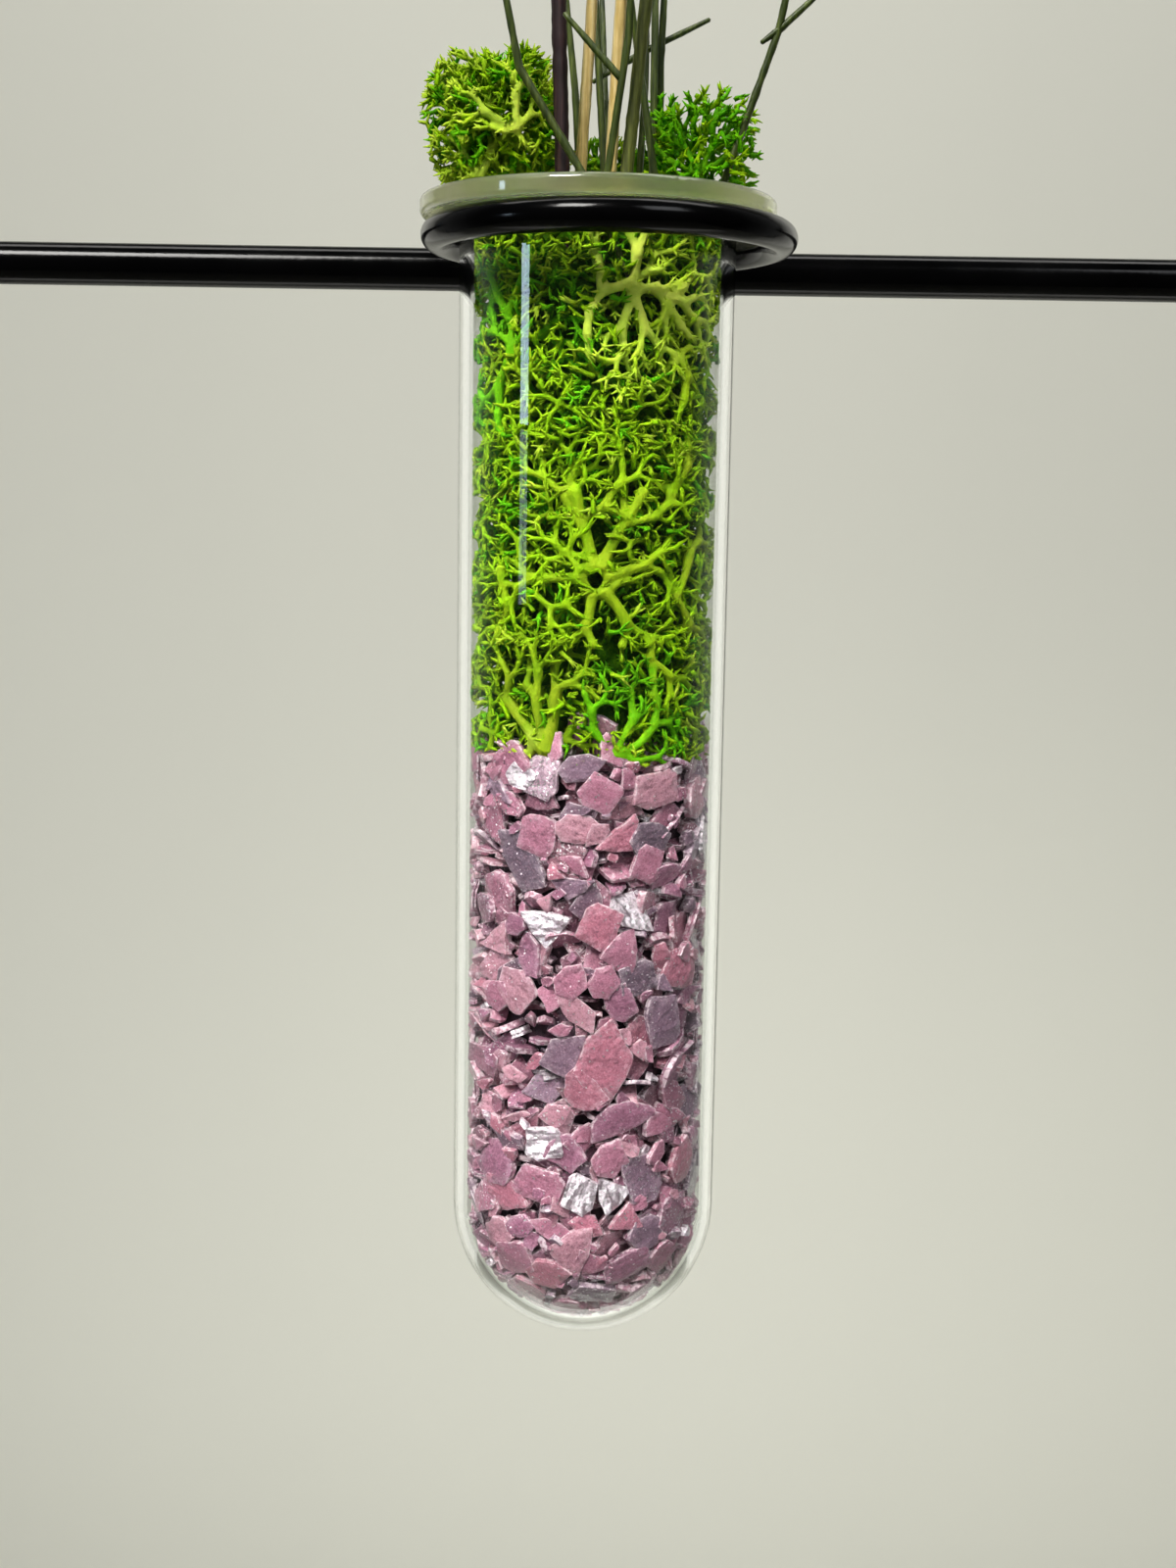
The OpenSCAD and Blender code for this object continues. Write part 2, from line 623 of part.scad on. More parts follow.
// Wad: a piece of the packing inside the tube, with fronds that fork against the glass
module wad(i) {
    low_z = bed_z + bed_crest + wad_gap;
    share = wad_shares[i];
    z0 = low_z - low_z * share[0] + (share[0] > 0 ? wad_gap / 2 : 0);
    z1 = low_z - low_z * share[1] - wad_gap / 2;
    side = share[2];
    core_r = fill_r - stalk_d;
    rows = max(1, round((z1 - z0) / frond_pitch));
    columns = max(2, round((side == 0 ? 2 : 1) * PI * fill_r / frond_pitch));
    sector = side == 0 ? 360 : 180;
    turn_a = side < 0 ? 90 : -90;
    edge = side == 0 ? -360 : asin((wad_gap + stalk_d / 2) / (fill_r - stalk_d));
    color(moss_greens[i % 3]) at_tube() {
        difference() {
            union() {
                lump(0, 0, 2 * core_r, z0, z1, i);
                translate([0, 0, z0]) cylinder(r = core_r * pith_share, h = z1 - z0, $fn = pith_sides);
            }
            if (side != 0)
                translate([side > 0 ? -tube_d : -wad_gap / 2, -tube_d, z0 - over])
                    cube([tube_d + wad_gap / 2, 2 * tube_d, z1 - z0 + 2 * over]);
            if (z1 > -stem_depth) stem_room();
        }
        for (row = [0:rows - 1], k = [0:columns - 1]) {
            seed = wad_seed * i + frond_seed * row + k;
            turn = turn_a + sector * (k + 0.5 + scatter(seed, 1, 20) * frond_scatter_share) / columns;
            z = z0 + (z1 - z0) * (row + 0.5 + scatter(seed, 2, 20) * frond_scatter_share) / rows;
            heading = 180 * ((k + row) % 2) + frond_swing_angle * scatter(seed, 3, 20);
            root = [
                for (r = [core_r * pith_share * frond_root_share, fill_r - stalk_d / 2]) on_shell(turn, z, r)
            ];
            if (clear_bar(root[0], root[1], stalk_d / 2)) {
                sweep_tube(root, [stalk_d / 2, stalk_d / 2], frond_sides);
                bars(fronds(
                    turn, z, heading, stalk_len, stalk_d / 2, 2, seed, [z0, z1],
                    [turn_a + edge, turn_a + sector - edge]
                ));
            }
        }
    }
}

// Tuft: a bush of stalks that stands in the mouth and over the lip
module tuft(i) {
    width = [left_tuft_d, right_tuft_d, back_tuft_d][i];
    share = tuft_shares[i];
    centre = [share[0] * bore_r, share[1] * bore_r, lip_t + width * share[2]];
    color(moss_greens[i]) at_tube() {
        difference() {
            intersection() {
                union() {
                    lump(
                        centre[0], centre[1], width,
                        lip_t + wad_gap, 2 * centre[2] - lip_t - wad_gap, tuft_seed + i
                    );
                    lump(
                        centre[0] * foot_in_share, centre[1] * foot_in_share, width * foot_width_share,
                        wad_gap, lip_t + width * foot_rise_share, foot_seed + i
                    );
                }
                union() {
                    translate([0, 0, wad_gap]) cylinder(r = fill_r, h = lip_t + wad_gap, $fn = moss_smooth);
                    translate([0, 0, lip_t + seat_gap])
                        cylinder(r = 3 * tube_r, h = spray_h, $fn = moss_smooth);
                }
            }
            stem_room();
        }
        for (k = [0:tuft_stalks - 1]) {
            up = (k + first_rise_share) / tuft_stalks;
            out = [sqrt(1 - up * up) * cos(k * golden_turn), sqrt(1 - up * up) * sin(k * golden_turn), up];
            bars(forks(
                centre + out * width * stalk_root_share, out, stalk_len * stalk_short_share, stalk_d / 2, 1,
                stalk_seed + frond_seed * i + k
            ));
        }
    }
}

// Stem i and its side shoots, grown all round by a gap
module stem_shape(i, gap) {
    r = stem_ds[i] / 2;
    sweep_tube(stem_points(i), [r * foot_share + gap, r + gap, r + gap, r * tip_share + gap], stem_sides);
    for (n = [0:len(shoot_shares) - 1])
        if (shoot_shares[n][0] == i)
            sweep_tube(shoot_points(n), [for (thin = shoot_thin_shares) r * thin + gap], stem_sides);
}

// Stem i with its side shoots
module stem(i) {
    tints = [[0.16, 0.07, 0.06], [0.8, 0.66, 0.34], [0.8, 0.66, 0.34], [0.24, 0.32, 0.08]];
    color(tints[min(i, 3)]) at_tube() stem_shape(i, 0);
}

rail();
tab(-1);  // tab_left
tab(1);  // tab_right
ring();
glass_tube();
gravel_core();
for (i = [0:len(chip_nodes) - 1])
    chips(i);
for (i = [0:len(wad_nodes) - 1])
    wad(i);
for (i = [0:len(tuft_nodes) - 1])
    tuft(i);
for (i = [0:len(stem_nodes) - 1])
    stem(i);
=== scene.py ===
"""Looks of a wall vase: a glass test tube in a black wire ring, filled with mauve stone flakes and lime moss.

Everything is made in the tube's own frame, in millimetres: the origin is on the tube's axis at the underside of
its lip, X is across, Y is towards the wall and Z is up. Skin.mesh() puts it in metres in the CAD's frame.
"""

import collections
import math
import random

import bpy
import numpy as np
from mathutils import Matrix, Quaternion, Vector, kdtree


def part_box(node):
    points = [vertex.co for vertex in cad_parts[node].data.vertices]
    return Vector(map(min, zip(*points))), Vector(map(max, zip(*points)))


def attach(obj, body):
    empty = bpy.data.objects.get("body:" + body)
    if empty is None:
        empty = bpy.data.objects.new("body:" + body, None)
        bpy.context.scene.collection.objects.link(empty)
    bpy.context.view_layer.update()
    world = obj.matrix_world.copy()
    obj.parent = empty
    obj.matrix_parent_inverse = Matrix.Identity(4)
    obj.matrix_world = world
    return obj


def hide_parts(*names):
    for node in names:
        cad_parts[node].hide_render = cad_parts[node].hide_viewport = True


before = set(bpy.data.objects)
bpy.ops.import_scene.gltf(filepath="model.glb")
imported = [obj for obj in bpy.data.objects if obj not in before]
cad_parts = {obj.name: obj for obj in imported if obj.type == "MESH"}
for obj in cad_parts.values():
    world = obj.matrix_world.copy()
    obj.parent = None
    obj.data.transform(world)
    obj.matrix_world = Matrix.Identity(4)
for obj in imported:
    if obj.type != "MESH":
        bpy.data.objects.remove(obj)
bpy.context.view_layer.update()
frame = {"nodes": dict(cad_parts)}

MM = 0.001

# The tube, in mm: its lip's thickness, its radius, how far from its axis its filling reaches, and the flakes' top
LIP_T = 2.2
TUBE_R = 15.0
FILL_R = 13.5
BED_Z = -57.0
tube_low, tube_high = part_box("glass_tube")
AXIS_X = (tube_low.x + tube_high.x) / 2 / MM
AXIS_Y = (tube_low.y + tube_high.y) / 2 / MM
LIP_Z = tube_high.z / MM - LIP_T
ORIGIN = np.array([AXIS_X, AXIS_Y, LIP_Z])
# Centre of its round bottom, in its own frame
DOME_Z = tube_low.z / MM - LIP_Z + TUBE_R

# The camera stands where the photograph was taken: it looks towards the wall, a little down.
CAMERA_AT = np.array([-1.366, -253.1, -38.74])
CAMERA_PITCH = math.radians(-8.11)
CAMERA_ROLL = math.radians(0.9)
CAMERA_LENS = 44.85


def unit(v):
    return v / np.linalg.norm(v)


def turned(v, axis, angle):
    """v turned about a unit axis."""
    return v * math.cos(angle) + np.cross(axis, v) * math.sin(angle) + axis * (axis @ v) * (1 - math.cos(angle))


def linked(name, data):
    """A new object in the scene."""
    made = bpy.data.objects.new(name, data)
    bpy.context.scene.collection.objects.link(made)
    return made


def make_camera():
    up = np.array([0, -math.sin(CAMERA_PITCH), math.cos(CAMERA_PITCH)])
    right = np.array([1.0, 0, 0])
    ahead = np.array([0, math.cos(CAMERA_PITCH), math.sin(CAMERA_PITCH)])
    rolled_right = right * math.cos(CAMERA_ROLL) + up * math.sin(CAMERA_ROLL)
    rolled_up = up * math.cos(CAMERA_ROLL) - right * math.sin(CAMERA_ROLL)
    data = bpy.data.cameras.new("camera")
    data.lens = CAMERA_LENS
    data.clip_start = 0.01
    camera = linked("camera", data)
    rotation = Matrix([rolled_right, rolled_up, -ahead]).transposed().to_4x4()
    camera.matrix_world = Matrix.Translation(Vector(CAMERA_AT * MM)) @ rotation
    bpy.context.scene.camera = camera


# ---- Materials ----


# Where the lip's painted olive tint and blur begin and where they are full, above the lip's underside in metres
LIP_FADE = (-0.0001, 0.0003)


class Tree:
    """A node tree, with short calls for the nodes that the finishes share."""

    def __init__(self, tree):
        self.tree = tree

    def feed(self, target, value):
        """Links an output to a socket, or sets the socket."""
        if isinstance(value, bpy.types.NodeSocket):
            self.tree.links.new(value, target)
        elif isinstance(value, tuple) and target.type == "RGBA":
            target.default_value = (*value, 1)
        else:
            target.default_value = value

    def node(self, kind, output, inputs=None, **settings):
        """One output of a new node. inputs are what its sockets get, by their name or number."""
        made = self.tree.nodes.new("ShaderNode" + kind)
        for key, value in settings.items():
            setattr(made, key, value)
        for key, value in (inputs or {}).items():
            self.feed(made.inputs[key], value)
        return made.outputs[output]

    def place(self):
        return self.node("TexCoord", "Object")

    def attribute(self, name, output="Color"):
        return self.node("Attribute", output, attribute_name=name)

    def noise(self, where, scale, detail, roughness=0.55):
        inputs = {"Vector": where, "Scale": scale, "Detail": detail, "Roughness": roughness}
        return self.node("TexNoise", "Fac", inputs)

    def ramp(self, value, *stops):
        made = self.tree.nodes.new("ShaderNodeValToRGB")
        self.feed(made.inputs["Fac"], value)
        points = made.color_ramp.elements
        while len(points) < len(stops):
            points.new(0.5)
        for point, (at, colour) in zip(points, stops):
            point.position = at
            point.color = (*colour, 1)
        return made.outputs["Color"]

    def mix(self, share, a, b):
        return self.node("Mix", 2, {"Factor": share, 6: a, 7: b}, data_type="RGBA")

    def span(self, value, low, high, to_low, to_high):
        """A value brought from one range into another."""
        inputs = {"Value": value, "From Min": low, "From Max": high, "To Min": to_low, "To Max": to_high}
        return self.node("MapRange", "Result", inputs)

    def math(self, operation, a, b):
        return self.node("Math", 0, {0: a, 1: b}, operation=operation)

    def times(self, a, b):
        return self.math("MULTIPLY", a, b)

    def vector(self, operation, a, b=(0, 0, 0)):
        return self.node("VectorMath", 0, {0: a, "Scale" if operation == "SCALE" else 1: b}, operation=operation)

    def stretched(self, where, scale):
        return self.node("Mapping", 0, {"Vector": where, "Scale": scale})

    def bump(self, height, strength, distance, below=None):
        inputs = {"Height": height, "Strength": strength, "Distance": distance}
        if below is not None:
            inputs["Normal"] = below
        return self.node("Bump", "Normal", inputs)


class Shader(Tree):
    """A material with one Principled surface."""

    def __init__(self, name, **surface):
        self.material = bpy.data.materials.new(name)
        self.material.use_nodes = True
        super().__init__(self.material.node_tree)
        self.surface = self.tree.nodes["Principled BSDF"]
        self.finish(**surface)

    def finish(self, **inputs):
        """Feeds the surface's sockets, whose names are given in small letters."""
        for key, value in inputs.items():
            name = key.replace("_", " ").title().replace("Ior", "IOR")
            self.feed(self.surface.inputs[name], value)
        return self.material


def glass_finish(lip_z):
    """Clear glass that lets the lamps' light through to what the tube holds. Its fire-polished lip is blurred and
    coated, and its olive tint is a painted reflection of the moss and ring seen through its edge.
    """
    s = Shader("glass_clear", ior=1.47, transmission_weight=1.0)
    where = s.place()
    tint = s.ramp(s.noise(where, 60, 2), (0.3, (0.96, 0.985, 0.965)), (0.7, (0.985, 1.0, 0.985)))
    height = s.node("SeparateXYZ", "Z", {0: where})
    lip = s.span(height, lip_z + LIP_FADE[0], lip_z + LIP_FADE[1], 0.0, 1.0)
    # Painted reflection: the lip is tinted olive for the moss and ring that show through its edge
    painted_lip_tint = s.ramp(s.noise(where, 160, 4), (0.36, (0.80, 0.86, 0.33)), (0.64, (0.99, 1.0, 0.56)))
    s.finish(
        base_color=s.mix(lip, tint, painted_lip_tint),
        roughness=s.times(lip, 0.5),
        coat_weight=lip,
        normal=s.bump(s.noise(where, 30, 0), 0.06, 0.0006),
    )
    shares = {0: s.node("LightPath", "Is Shadow Ray"), 1: s.surface.outputs[0], 2: s.node("BsdfTransparent", 0)}
    s.feed(s.tree.nodes["Material Output"].inputs["Surface"], s.node("MixShader", 0, shares))
    return s.material


def enamel_finish():
    """Black gloss enamel on steel: a faint orange peel, with dust-dulled patches."""
    s = Shader("enamel_black", specular_ior_level=0.14)
    where = s.place()
    patches = s.noise(where, 90, 4)
    colour = s.ramp(patches, (0.3, (0.0008, 0.0008, 0.0009)), (0.75, (0.002, 0.002, 0.0022)))
    rough = s.span(patches, 0.3, 0.75, 0.1, 0.2)
    return s.finish(base_color=colour, roughness=rough, normal=s.bump(s.noise(where, 900, 3), 0.25, 0.00006))


def deep_stone_finish():
    """The buried flakes, seen only through the gaps: mottled, and dark with painted shade."""
    s = Shader("stone_deep", specular_ior_level=0.3)
    mottle = s.noise(s.place(), 900, 4)
    # Painted shade: the buried flakes are coloured far darker than the mauve flakes in front
    colour = s.ramp(mottle, (0.35, (0.014, 0.005, 0.009)), (0.7, (0.06, 0.025, 0.04)))
    rough = s.span(mottle, 0.3, 0.7, 0.4, 0.7)
    return s.finish(base_color=colour, roughness=rough, normal=s.bump(mottle, 0.8, 0.0005))


def stone_finish():
    """Mauve lacquered slate flakes: mottled, with layer lines, pale rims that are painted glints, and glitter."""
    s = Shader("stone_mauve", specular_ior_level=0.5, coat_weight=0.8, coat_roughness=0.08)
    grain, tint = s.attribute("grain", "Vector"), s.attribute("tint")
    rim, shine = s.attribute("rim", "Fac"), s.attribute("shine", "Fac")
    mottle = s.noise(grain, 1.5, 5, 0.65)
    fine = s.noise(grain, 5, 2)
    # Pale patches along the rims: painted glints where the lacquered edges catch the light
    edge = s.times(rim, s.span(s.noise(grain, 1.9, 1), 0.44, 0.58, 0.1, 1.0))
    colour = s.mix(s.span(mottle, 0.42, 0.72, 0.0, 0.45), tint, (0.15, 0.06, 0.10))
    colour = s.mix(s.span(fine, 0.54, 0.75, 0.0, 0.45), colour, (0.72, 0.44, 0.52))
    colour = s.mix(s.span(fine, 0.3, 0.47, 0.55, 0.0), colour, (0.12, 0.045, 0.075))
    colour = s.mix(s.times(edge, 0.8), colour, (0.97, 0.82, 0.88))
    # The more a flake shines, the more of its small cells are specks of glitter
    cell = s.node("TexVoronoi", "Color", {"Vector": grain, "Scale": 6.0})
    lot = s.node("SeparateColor", 0, {0: cell})
    speck = s.math("GREATER_THAN", lot, s.span(shine, 0.2, 1.0, 0.99, 0.6))
    colour = s.mix(s.times(speck, 0.85), colour, (0.98, 0.93, 0.96))
    # The shiniest flakes are crumpled foil; its darker stripes along the lines are painted shade of the crumples
    lines = s.noise(s.stretched(grain, (0.5, 1.7, 1.0)), 1.1, 1)
    foil = s.span(shine, 0.4, 0.9, 0.0, 1.0)
    colour = s.mix(s.times(s.span(lines, 0.36, 0.48, 0.5, 0.0), foil), colour, (0.34, 0.22, 0.29))
    metal = s.math("MAXIMUM", s.times(speck, 0.8), s.times(edge, 0.25))
    metal = s.math("MAXIMUM", metal, s.times(foil, 0.42))
    relief = s.bump(s.noise(grain, 0.45, 1), 0.6, 0.0007)
    relief = s.bump(lines, s.span(foil, 0.0, 1.0, 0.15, 0.5), 0.00045, relief)
    relief = s.bump(s.noise(grain, 1.6, 1), 0.6, 0.0003, relief)
    relief = s.bump(fine, 0.25, 0.00006, relief)
    tilt = s.vector("SCALE", s.vector("SUBTRACT", cell, (0.5, 0.5, 0.5)), s.times(speck, 0.9))
    crumple = s.node("CombineXYZ", 0, {"Z": s.times(s.span(lines, 0.36, 0.62, -0.1, 0.6), foil)})
    normal = s.vector("NORMALIZE", s.vector("ADD", relief, s.vector("ADD", crumple, tilt)))
    rough = s.span(mottle, 0.3, 0.7, 0.25, 0.5)
    return s.finish(base_color=colour, roughness=rough, metallic=metal, normal=normal, coat_normal=normal)


def moss_finish():
    """Preserved lichen: matt, a little waxy, paler on thick stalks, and deep green in the gaps by the painted shade
    in its tint.
    """
    s = Shader(
        "moss_lime",
        specular_ior_level=0.06,
        subsurface_weight=0.15,
        subsurface_radius=(0.0006, 0.0009, 0.0002),
        subsurface_scale=1.0,
    )
    where = s.place()
    blotch = s.noise(where, 420, 4)
    colour = s.mix(s.span(blotch, 0.42, 0.7, 0.0, 0.5), s.attribute("tint"), (0.10, 0.27, 0.001))
    speckle = s.noise(where, 2600, 2)
    colour = s.mix(s.span(speckle, 0.55, 0.8, 0.0, 0.25), colour, (0.52, 0.66, 0.015))
    relief = s.bump(speckle, 0.7, 0.00014, s.bump(s.noise(where, 950, 2), 0.6, 0.0003))
    return s.finish(base_color=colour, roughness=s.span(blotch, 0.3, 0.7, 0.5, 0.75), normal=relief)


def stem_finish(name, dark, mid, pale, rough):
    """Dry stem: long grain along the stalk, in three shades."""
    s = Shader(name, specular_ior_level=0.4, roughness=rough)
    fibre = s.noise(s.stretched(s.place(), (1, 1, 0.06)), 2600, 4)
    colour = s.ramp(fibre, (0.3, dark), (0.5, mid), (0.72, pale))
    colour = s.mix(s.span(s.noise(s.place(), 260, 3), 0.45, 0.75, 0.0, 0.5), colour, dark)
    return s.finish(base_color=colour, normal=s.bump(fibre, 0.5, 0.00015))


# ---- Meshes ----


class Skin:
    """Points, faces and point values of one piece, in mm in the tube's frame."""

    def __init__(self):
        self.points, self.faces, self.values, self.count = [], [], {}, 0

    def add(self, points, faces, **values):
        """faces is a list of arrays, each with one face a row."""
        self.points.append(points)
        self.faces += [np.asarray(f) + self.count for f in faces]
        for key, value in values.items():
            value = np.asarray(value, float)
            if value.ndim == 0 or len(value) != len(points):
                value = np.broadcast_to(value, (len(points), *value.shape))
            self.values.setdefault(key, []).append(value)
        self.count += len(points)

    def mesh(self, name):
        points = (np.concatenate(self.points) + ORIGIN) * MM
        sizes = np.concatenate([np.full(len(f), f.shape[1]) for f in self.faces])
        corners = np.concatenate([f.ravel() for f in self.faces])
        mesh = bpy.data.meshes.new(name)
        mesh.vertices.add(len(points))
        mesh.vertices.foreach_set("co", points.ravel())
        mesh.loops.add(len(corners))
        mesh.loops.foreach_set("vertex_index", corners.astype(np.int32))
        mesh.polygons.add(len(sizes))
        mesh.polygons.foreach_set("loop_start", (np.cumsum(sizes) - sizes).astype(np.int32))
        mesh.update(calc_edges=True)
        for key, parts in self.values.items():
            store_value(mesh, key, np.concatenate(parts))
        mesh.shade_smooth()
        return mesh

    def tubes(self, paths, radii, sides, tint):
        """Adds closed tubes, each with its own tint."""
        points, faces, each = sweep(paths, radii, sides)
        self.add(points, faces, tint=np.repeat(tint, each, axis=0))

    def piece(self, name, body, material, slot, nodes=(), sharp=None):
        mesh = self.mesh(name)
        if sharp is not None:
            mesh.set_sharp_from_angle(angle=math.radians(sharp))
        made = linked(name, mesh)
        mesh.materials.append(material)
        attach(made, body)
        if nodes:
            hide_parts(*nodes)
        return made


def store_value(mesh, key, value):
    if key == "tint":
        data = np.concatenate([value, np.ones((len(value), 1))], axis=1)
        mesh.color_attributes.new(key, "FLOAT_COLOR", "POINT").data.foreach_set("color", data.ravel())
    elif value.ndim == 2:
        mesh.attributes.new(key, "FLOAT_VECTOR", "POINT").data.foreach_set("vector", value.ravel())
    else:
        mesh.attributes.new(key, "FLOAT", "POINT").data.foreach_set("value", value)


def normal_rows(v):
    return v / np.maximum(np.linalg.norm(v, axis=-1, keepdims=True), 1e-9)


def ring_faces(levels, around):
    """Faces of a closed skin over rings of points, level by level, then a point at its foot and one at its tip."""
    k = np.arange(around)
    n = (k + 1) % around
    step = np.arange(levels - 1)[:, None] * around
    walls = np.stack([step + k, step + n, step + around + n, step + around + k], -1).reshape(-1, 4)
    foot, last = levels * around, (levels - 1) * around
    end = np.full(around, foot)
    return walls, np.concatenate([np.stack([end, n, k], 1), np.stack([last + k, last + n, end + 1], 1)])


def sweep(paths, radii, sides):
    """Closed tubes, all with as many points: paths is (tubes, points, 3) and radii (tubes, points).
    Returns points, faces and the count of points in each tube."""
    paths, radii = np.asarray(paths, float), np.asarray(radii, float)
    tubes, knots = radii.shape
    ahead = normal_rows(np.gradient(paths, axis=1))
    turn = np.arange(sides) * 2 * math.pi / sides
    cos, sin = np.cos(turn)[:, None], np.sin(turn)[:, None]
    side = np.where(np.abs(ahead[:, 0, 2:]) < 0.8, (0.0, 0.0, 1.0), (0.0, 1.0, 0.0))
    side = np.cross(ahead[:, 0], side)
    rings = []
    for i in range(knots):
        side = normal_rows(side - ahead[:, i] * (side * ahead[:, i]).sum(1, keepdims=True))
        other = np.cross(ahead[:, i], side)
        around = cos * side[:, None] + sin * other[:, None]
        rings.append(paths[:, i, None] + radii[:, i, None, None] * around)
    foot = paths[:, :1] - ahead[:, :1] * radii[:, :1, None] * 0.6
    tip = paths[:, -1:] + ahead[:, -1:] * radii[:, -1:, None] * 0.6
    points = np.concatenate([*rings, foot, tip], axis=1)
    each = knots * sides + 2
    walls, caps = ring_faces(knots, sides)
    base = np.arange(tubes)[:, None, None] * each
    return points.reshape(-1, 3), [(walls + base).reshape(-1, 4), (caps + base).reshape(-1, 3)], each


def smooth_path(knots, steps):
    """Catmull-Rom curve through the knots."""
    knots = np.asarray(knots, float)
    k = np.concatenate([[2 * knots[0] - knots[1]], knots, [2 * knots[-1] - knots[-2]]])
    t = (np.arange(steps) / steps)[:, None]
    out = [
        0.5
        * (
            2 * k[i]
            + (k[i + 1] - k[i - 1]) * t
            + (2 * k[i - 1] - 5 * k[i] + 4 * k[i + 1] - k[i + 2]) * t**2
            + (3 * k[i] - k[i - 1] - 3 * k[i + 1] + k[i + 2]) * t**3
        )
        for i in range(1, len(k) - 2)
    ]
    return np.concatenate([*out, knots[-1:]])


# ---- Moss ----

# What a branch is like at each level, from trunk to twig, in mm: its radius, its length, and how much room its
# end needs to the branches around it
BRANCH_R = [0.72, 0.56, 0.44, 0.35, 0.28]
BRANCH_LEN = [3.4, 2.4, 1.8, 1.4, 1.05]
BRANCH_ROOM = [2.1, 1.6, 1.25, 0.95, 0.68]
# How many times a branch may put out a spike at its side
SIDE_SPIKES = [5, 4, 3, 2, 1]
TWIG_LEVEL = 4
TIP_R = 0.05
TIP_LEN = 0.95
FORK_TURN = math.radians(35)
REMESH_VOXEL = 0.23
NEVER = 99.0
# Painted shade: branches get darker with their depth, in mm, down to a share of their colour. Red and blue fade
# sooner than green.
SHADE_DEPTH = 3.2
SHADE_LEAST = 0.16
SHADE_POWERS = np.array([1.2, 0.88, 1.5])
# Twigs that lie deeper than this have fewer tips
HIDDEN = 1.7
# Tips are coloured like branches of this level
TIP_LEVEL = 3
# The moss keeps this far from the tube's axis, and has the ring's shadow painted on it, darker the nearer it lies
# under the ring, down to a height
MOSS_R = FILL_R - 0.05
SHADE_Z = -8.0

# Seeds: of the colours and the core, and the first of those of the wads and the tufts
SHADES_SEED, CORE_SEED, WAD_SEED, TUFT_SEED = 5, 3, 100, 200

# Bare places of the packing: notches at its sides (side, height, half height), which begin that far across, and
# hollows in its front (across, up, radius, depth)
SIDE_GAPS = [
    (-1, -11.5, 1.2), (-1, -16.8, 1.7), (-1, -23.5, 1.0), (-1, -31.0, 1.4), (-1, -35.6, 0.9), (-1, -45.4, 1.2),
    (-1, -53.1, 1.1), (1, -11.6, 0.9), (1, -16.2, 1.5), (1, -21.5, 1.1), (1, -27.3, 1.4), (1, -31.5, 1.2),
    (1, -41.6, 1.3), (1, -54.0, 1.0),
]
NOTCH_FROM = 11.9
FRONT_GAPS = [
    (0.2, -38.2, 0.85, 2.8), (0.5, -45.4, 2.3, 3.2), (2.8, -52.4, 1.8, 2.8), (-0.4, -40.8, 1.2, 2.2),
    (0.8, -33.8, 1.5, 2.6), (-2.1, -12.6, 1.3, 2.4),
]

Branch = collections.namedtuple("Branch", "path radius end_radius level tint")
Tip = collections.namedtuple("Tip", "start end radius level tint")


class TubeRoom:
    """The space in the glass between two heights, on one side (-1 or 1) or both (0)."""

    def __init__(self, low, high, side):
        self.low, self.high, self.side = low, high, side
        self.notches, self.hollows = (
            [gap for gap in gaps if low < gap[1] + gap[2] and gap[1] - gap[2] < high]
            for gaps in (SIDE_GAPS, FRONT_GAPS)
        )

    def bare(self, p):
        if p.y < 0:
            for x, z, r, deep in self.hollows:
                if (p.x - x) ** 2 + (p.z - z) ** 2 < r * r and self.depth(p) < deep:
                    return True
        for side, z, half in self.notches:
            share = abs(p.z - z) / half
            if share < 1 and p.x * side > NOTCH_FROM + share * share:
                return True
        return False

    def press(self, p, r):
        """p moved to where a branch of radius r fits, or None if that is out of reach."""
        if not self.low < p.z < self.high or p.x * self.side < -1.0:
            return None
        across = math.hypot(p.x, p.y)
        most = MOSS_R - r
        if across > most:
            p = Vector((p.x * most / across, p.y * most / across, p.z))
        return None if self.bare(p) else p

    def tip(self, p):
        return self.press(p, TIP_R)

    def out(self, p):
        return Vector((p.x, p.y, 0)).normalized()

    def any_place(self, rand, shallow, deep):
        turn = rand.uniform(0, 2 * math.pi)
        across = MOSS_R - rand.uniform(shallow, deep)
        x, y = across * math.cos(turn), across * math.sin(turn)
        if self.side:
            x = abs(x) * self.side
        return Vector((x, y, rand.uniform(self.low, self.high)))

    def depth(self, p):
        return MOSS_R - math.hypot(p[0], p[1])


class BushRoom:
    """A lumpy bush: a rounded block about a centre, above a floor. Branches stop at its surface, and spikes stand
    out of it."""

    def __init__(self, centre, radii, floor, square, seed):
        self.centre, self.radii, self.floor, self.square = Vector(centre), Vector(radii), floor, square
        rng = random.Random(seed)
        self.lumps = [(Vector([rng.gauss(0, 1.6) for _ in range(3)]), rng.uniform(0, 6.3)) for _ in range(5)]

    def far(self, p, r=0.0):
        """How far out p is, 1 at the surface."""
        d = Vector([away / (radius - r) for away, radius in zip(p - self.centre, self.radii)])
        norm = sum(abs(v) ** self.square for v in d) ** (1 / self.square)
        way = d.normalized()
        return norm / (1 + 0.05 * sum(math.sin(way.dot(turn) * 2 + shift) for turn, shift in self.lumps))

    def press(self, p, r):
        return None if p.z < self.floor or self.far(p, r) > 1 else p

    def tip(self, p):
        return p if p.z > self.floor and self.far(p) < 1.16 else None

    def out(self, p):
        return Vector([away / radius**2 for away, radius in zip(p - self.centre, self.radii)]).normalized()

    def any_place(self, rand, shallow, deep):
        way = Vector([rand.gauss(0, 1) for _ in range(3)])
        d = Vector([a * radius for a, radius in zip(way, self.radii)])
        share = (1 - rand.uniform(shallow, deep) / min(self.radii)) / self.far(self.centre + d)
        p = self.centre + d * share
        p.z = max(p.z, self.floor + 0.3)
        return p

    def depth(self, p):
        return (1 - self.far(Vector(p))) * min(self.radii)


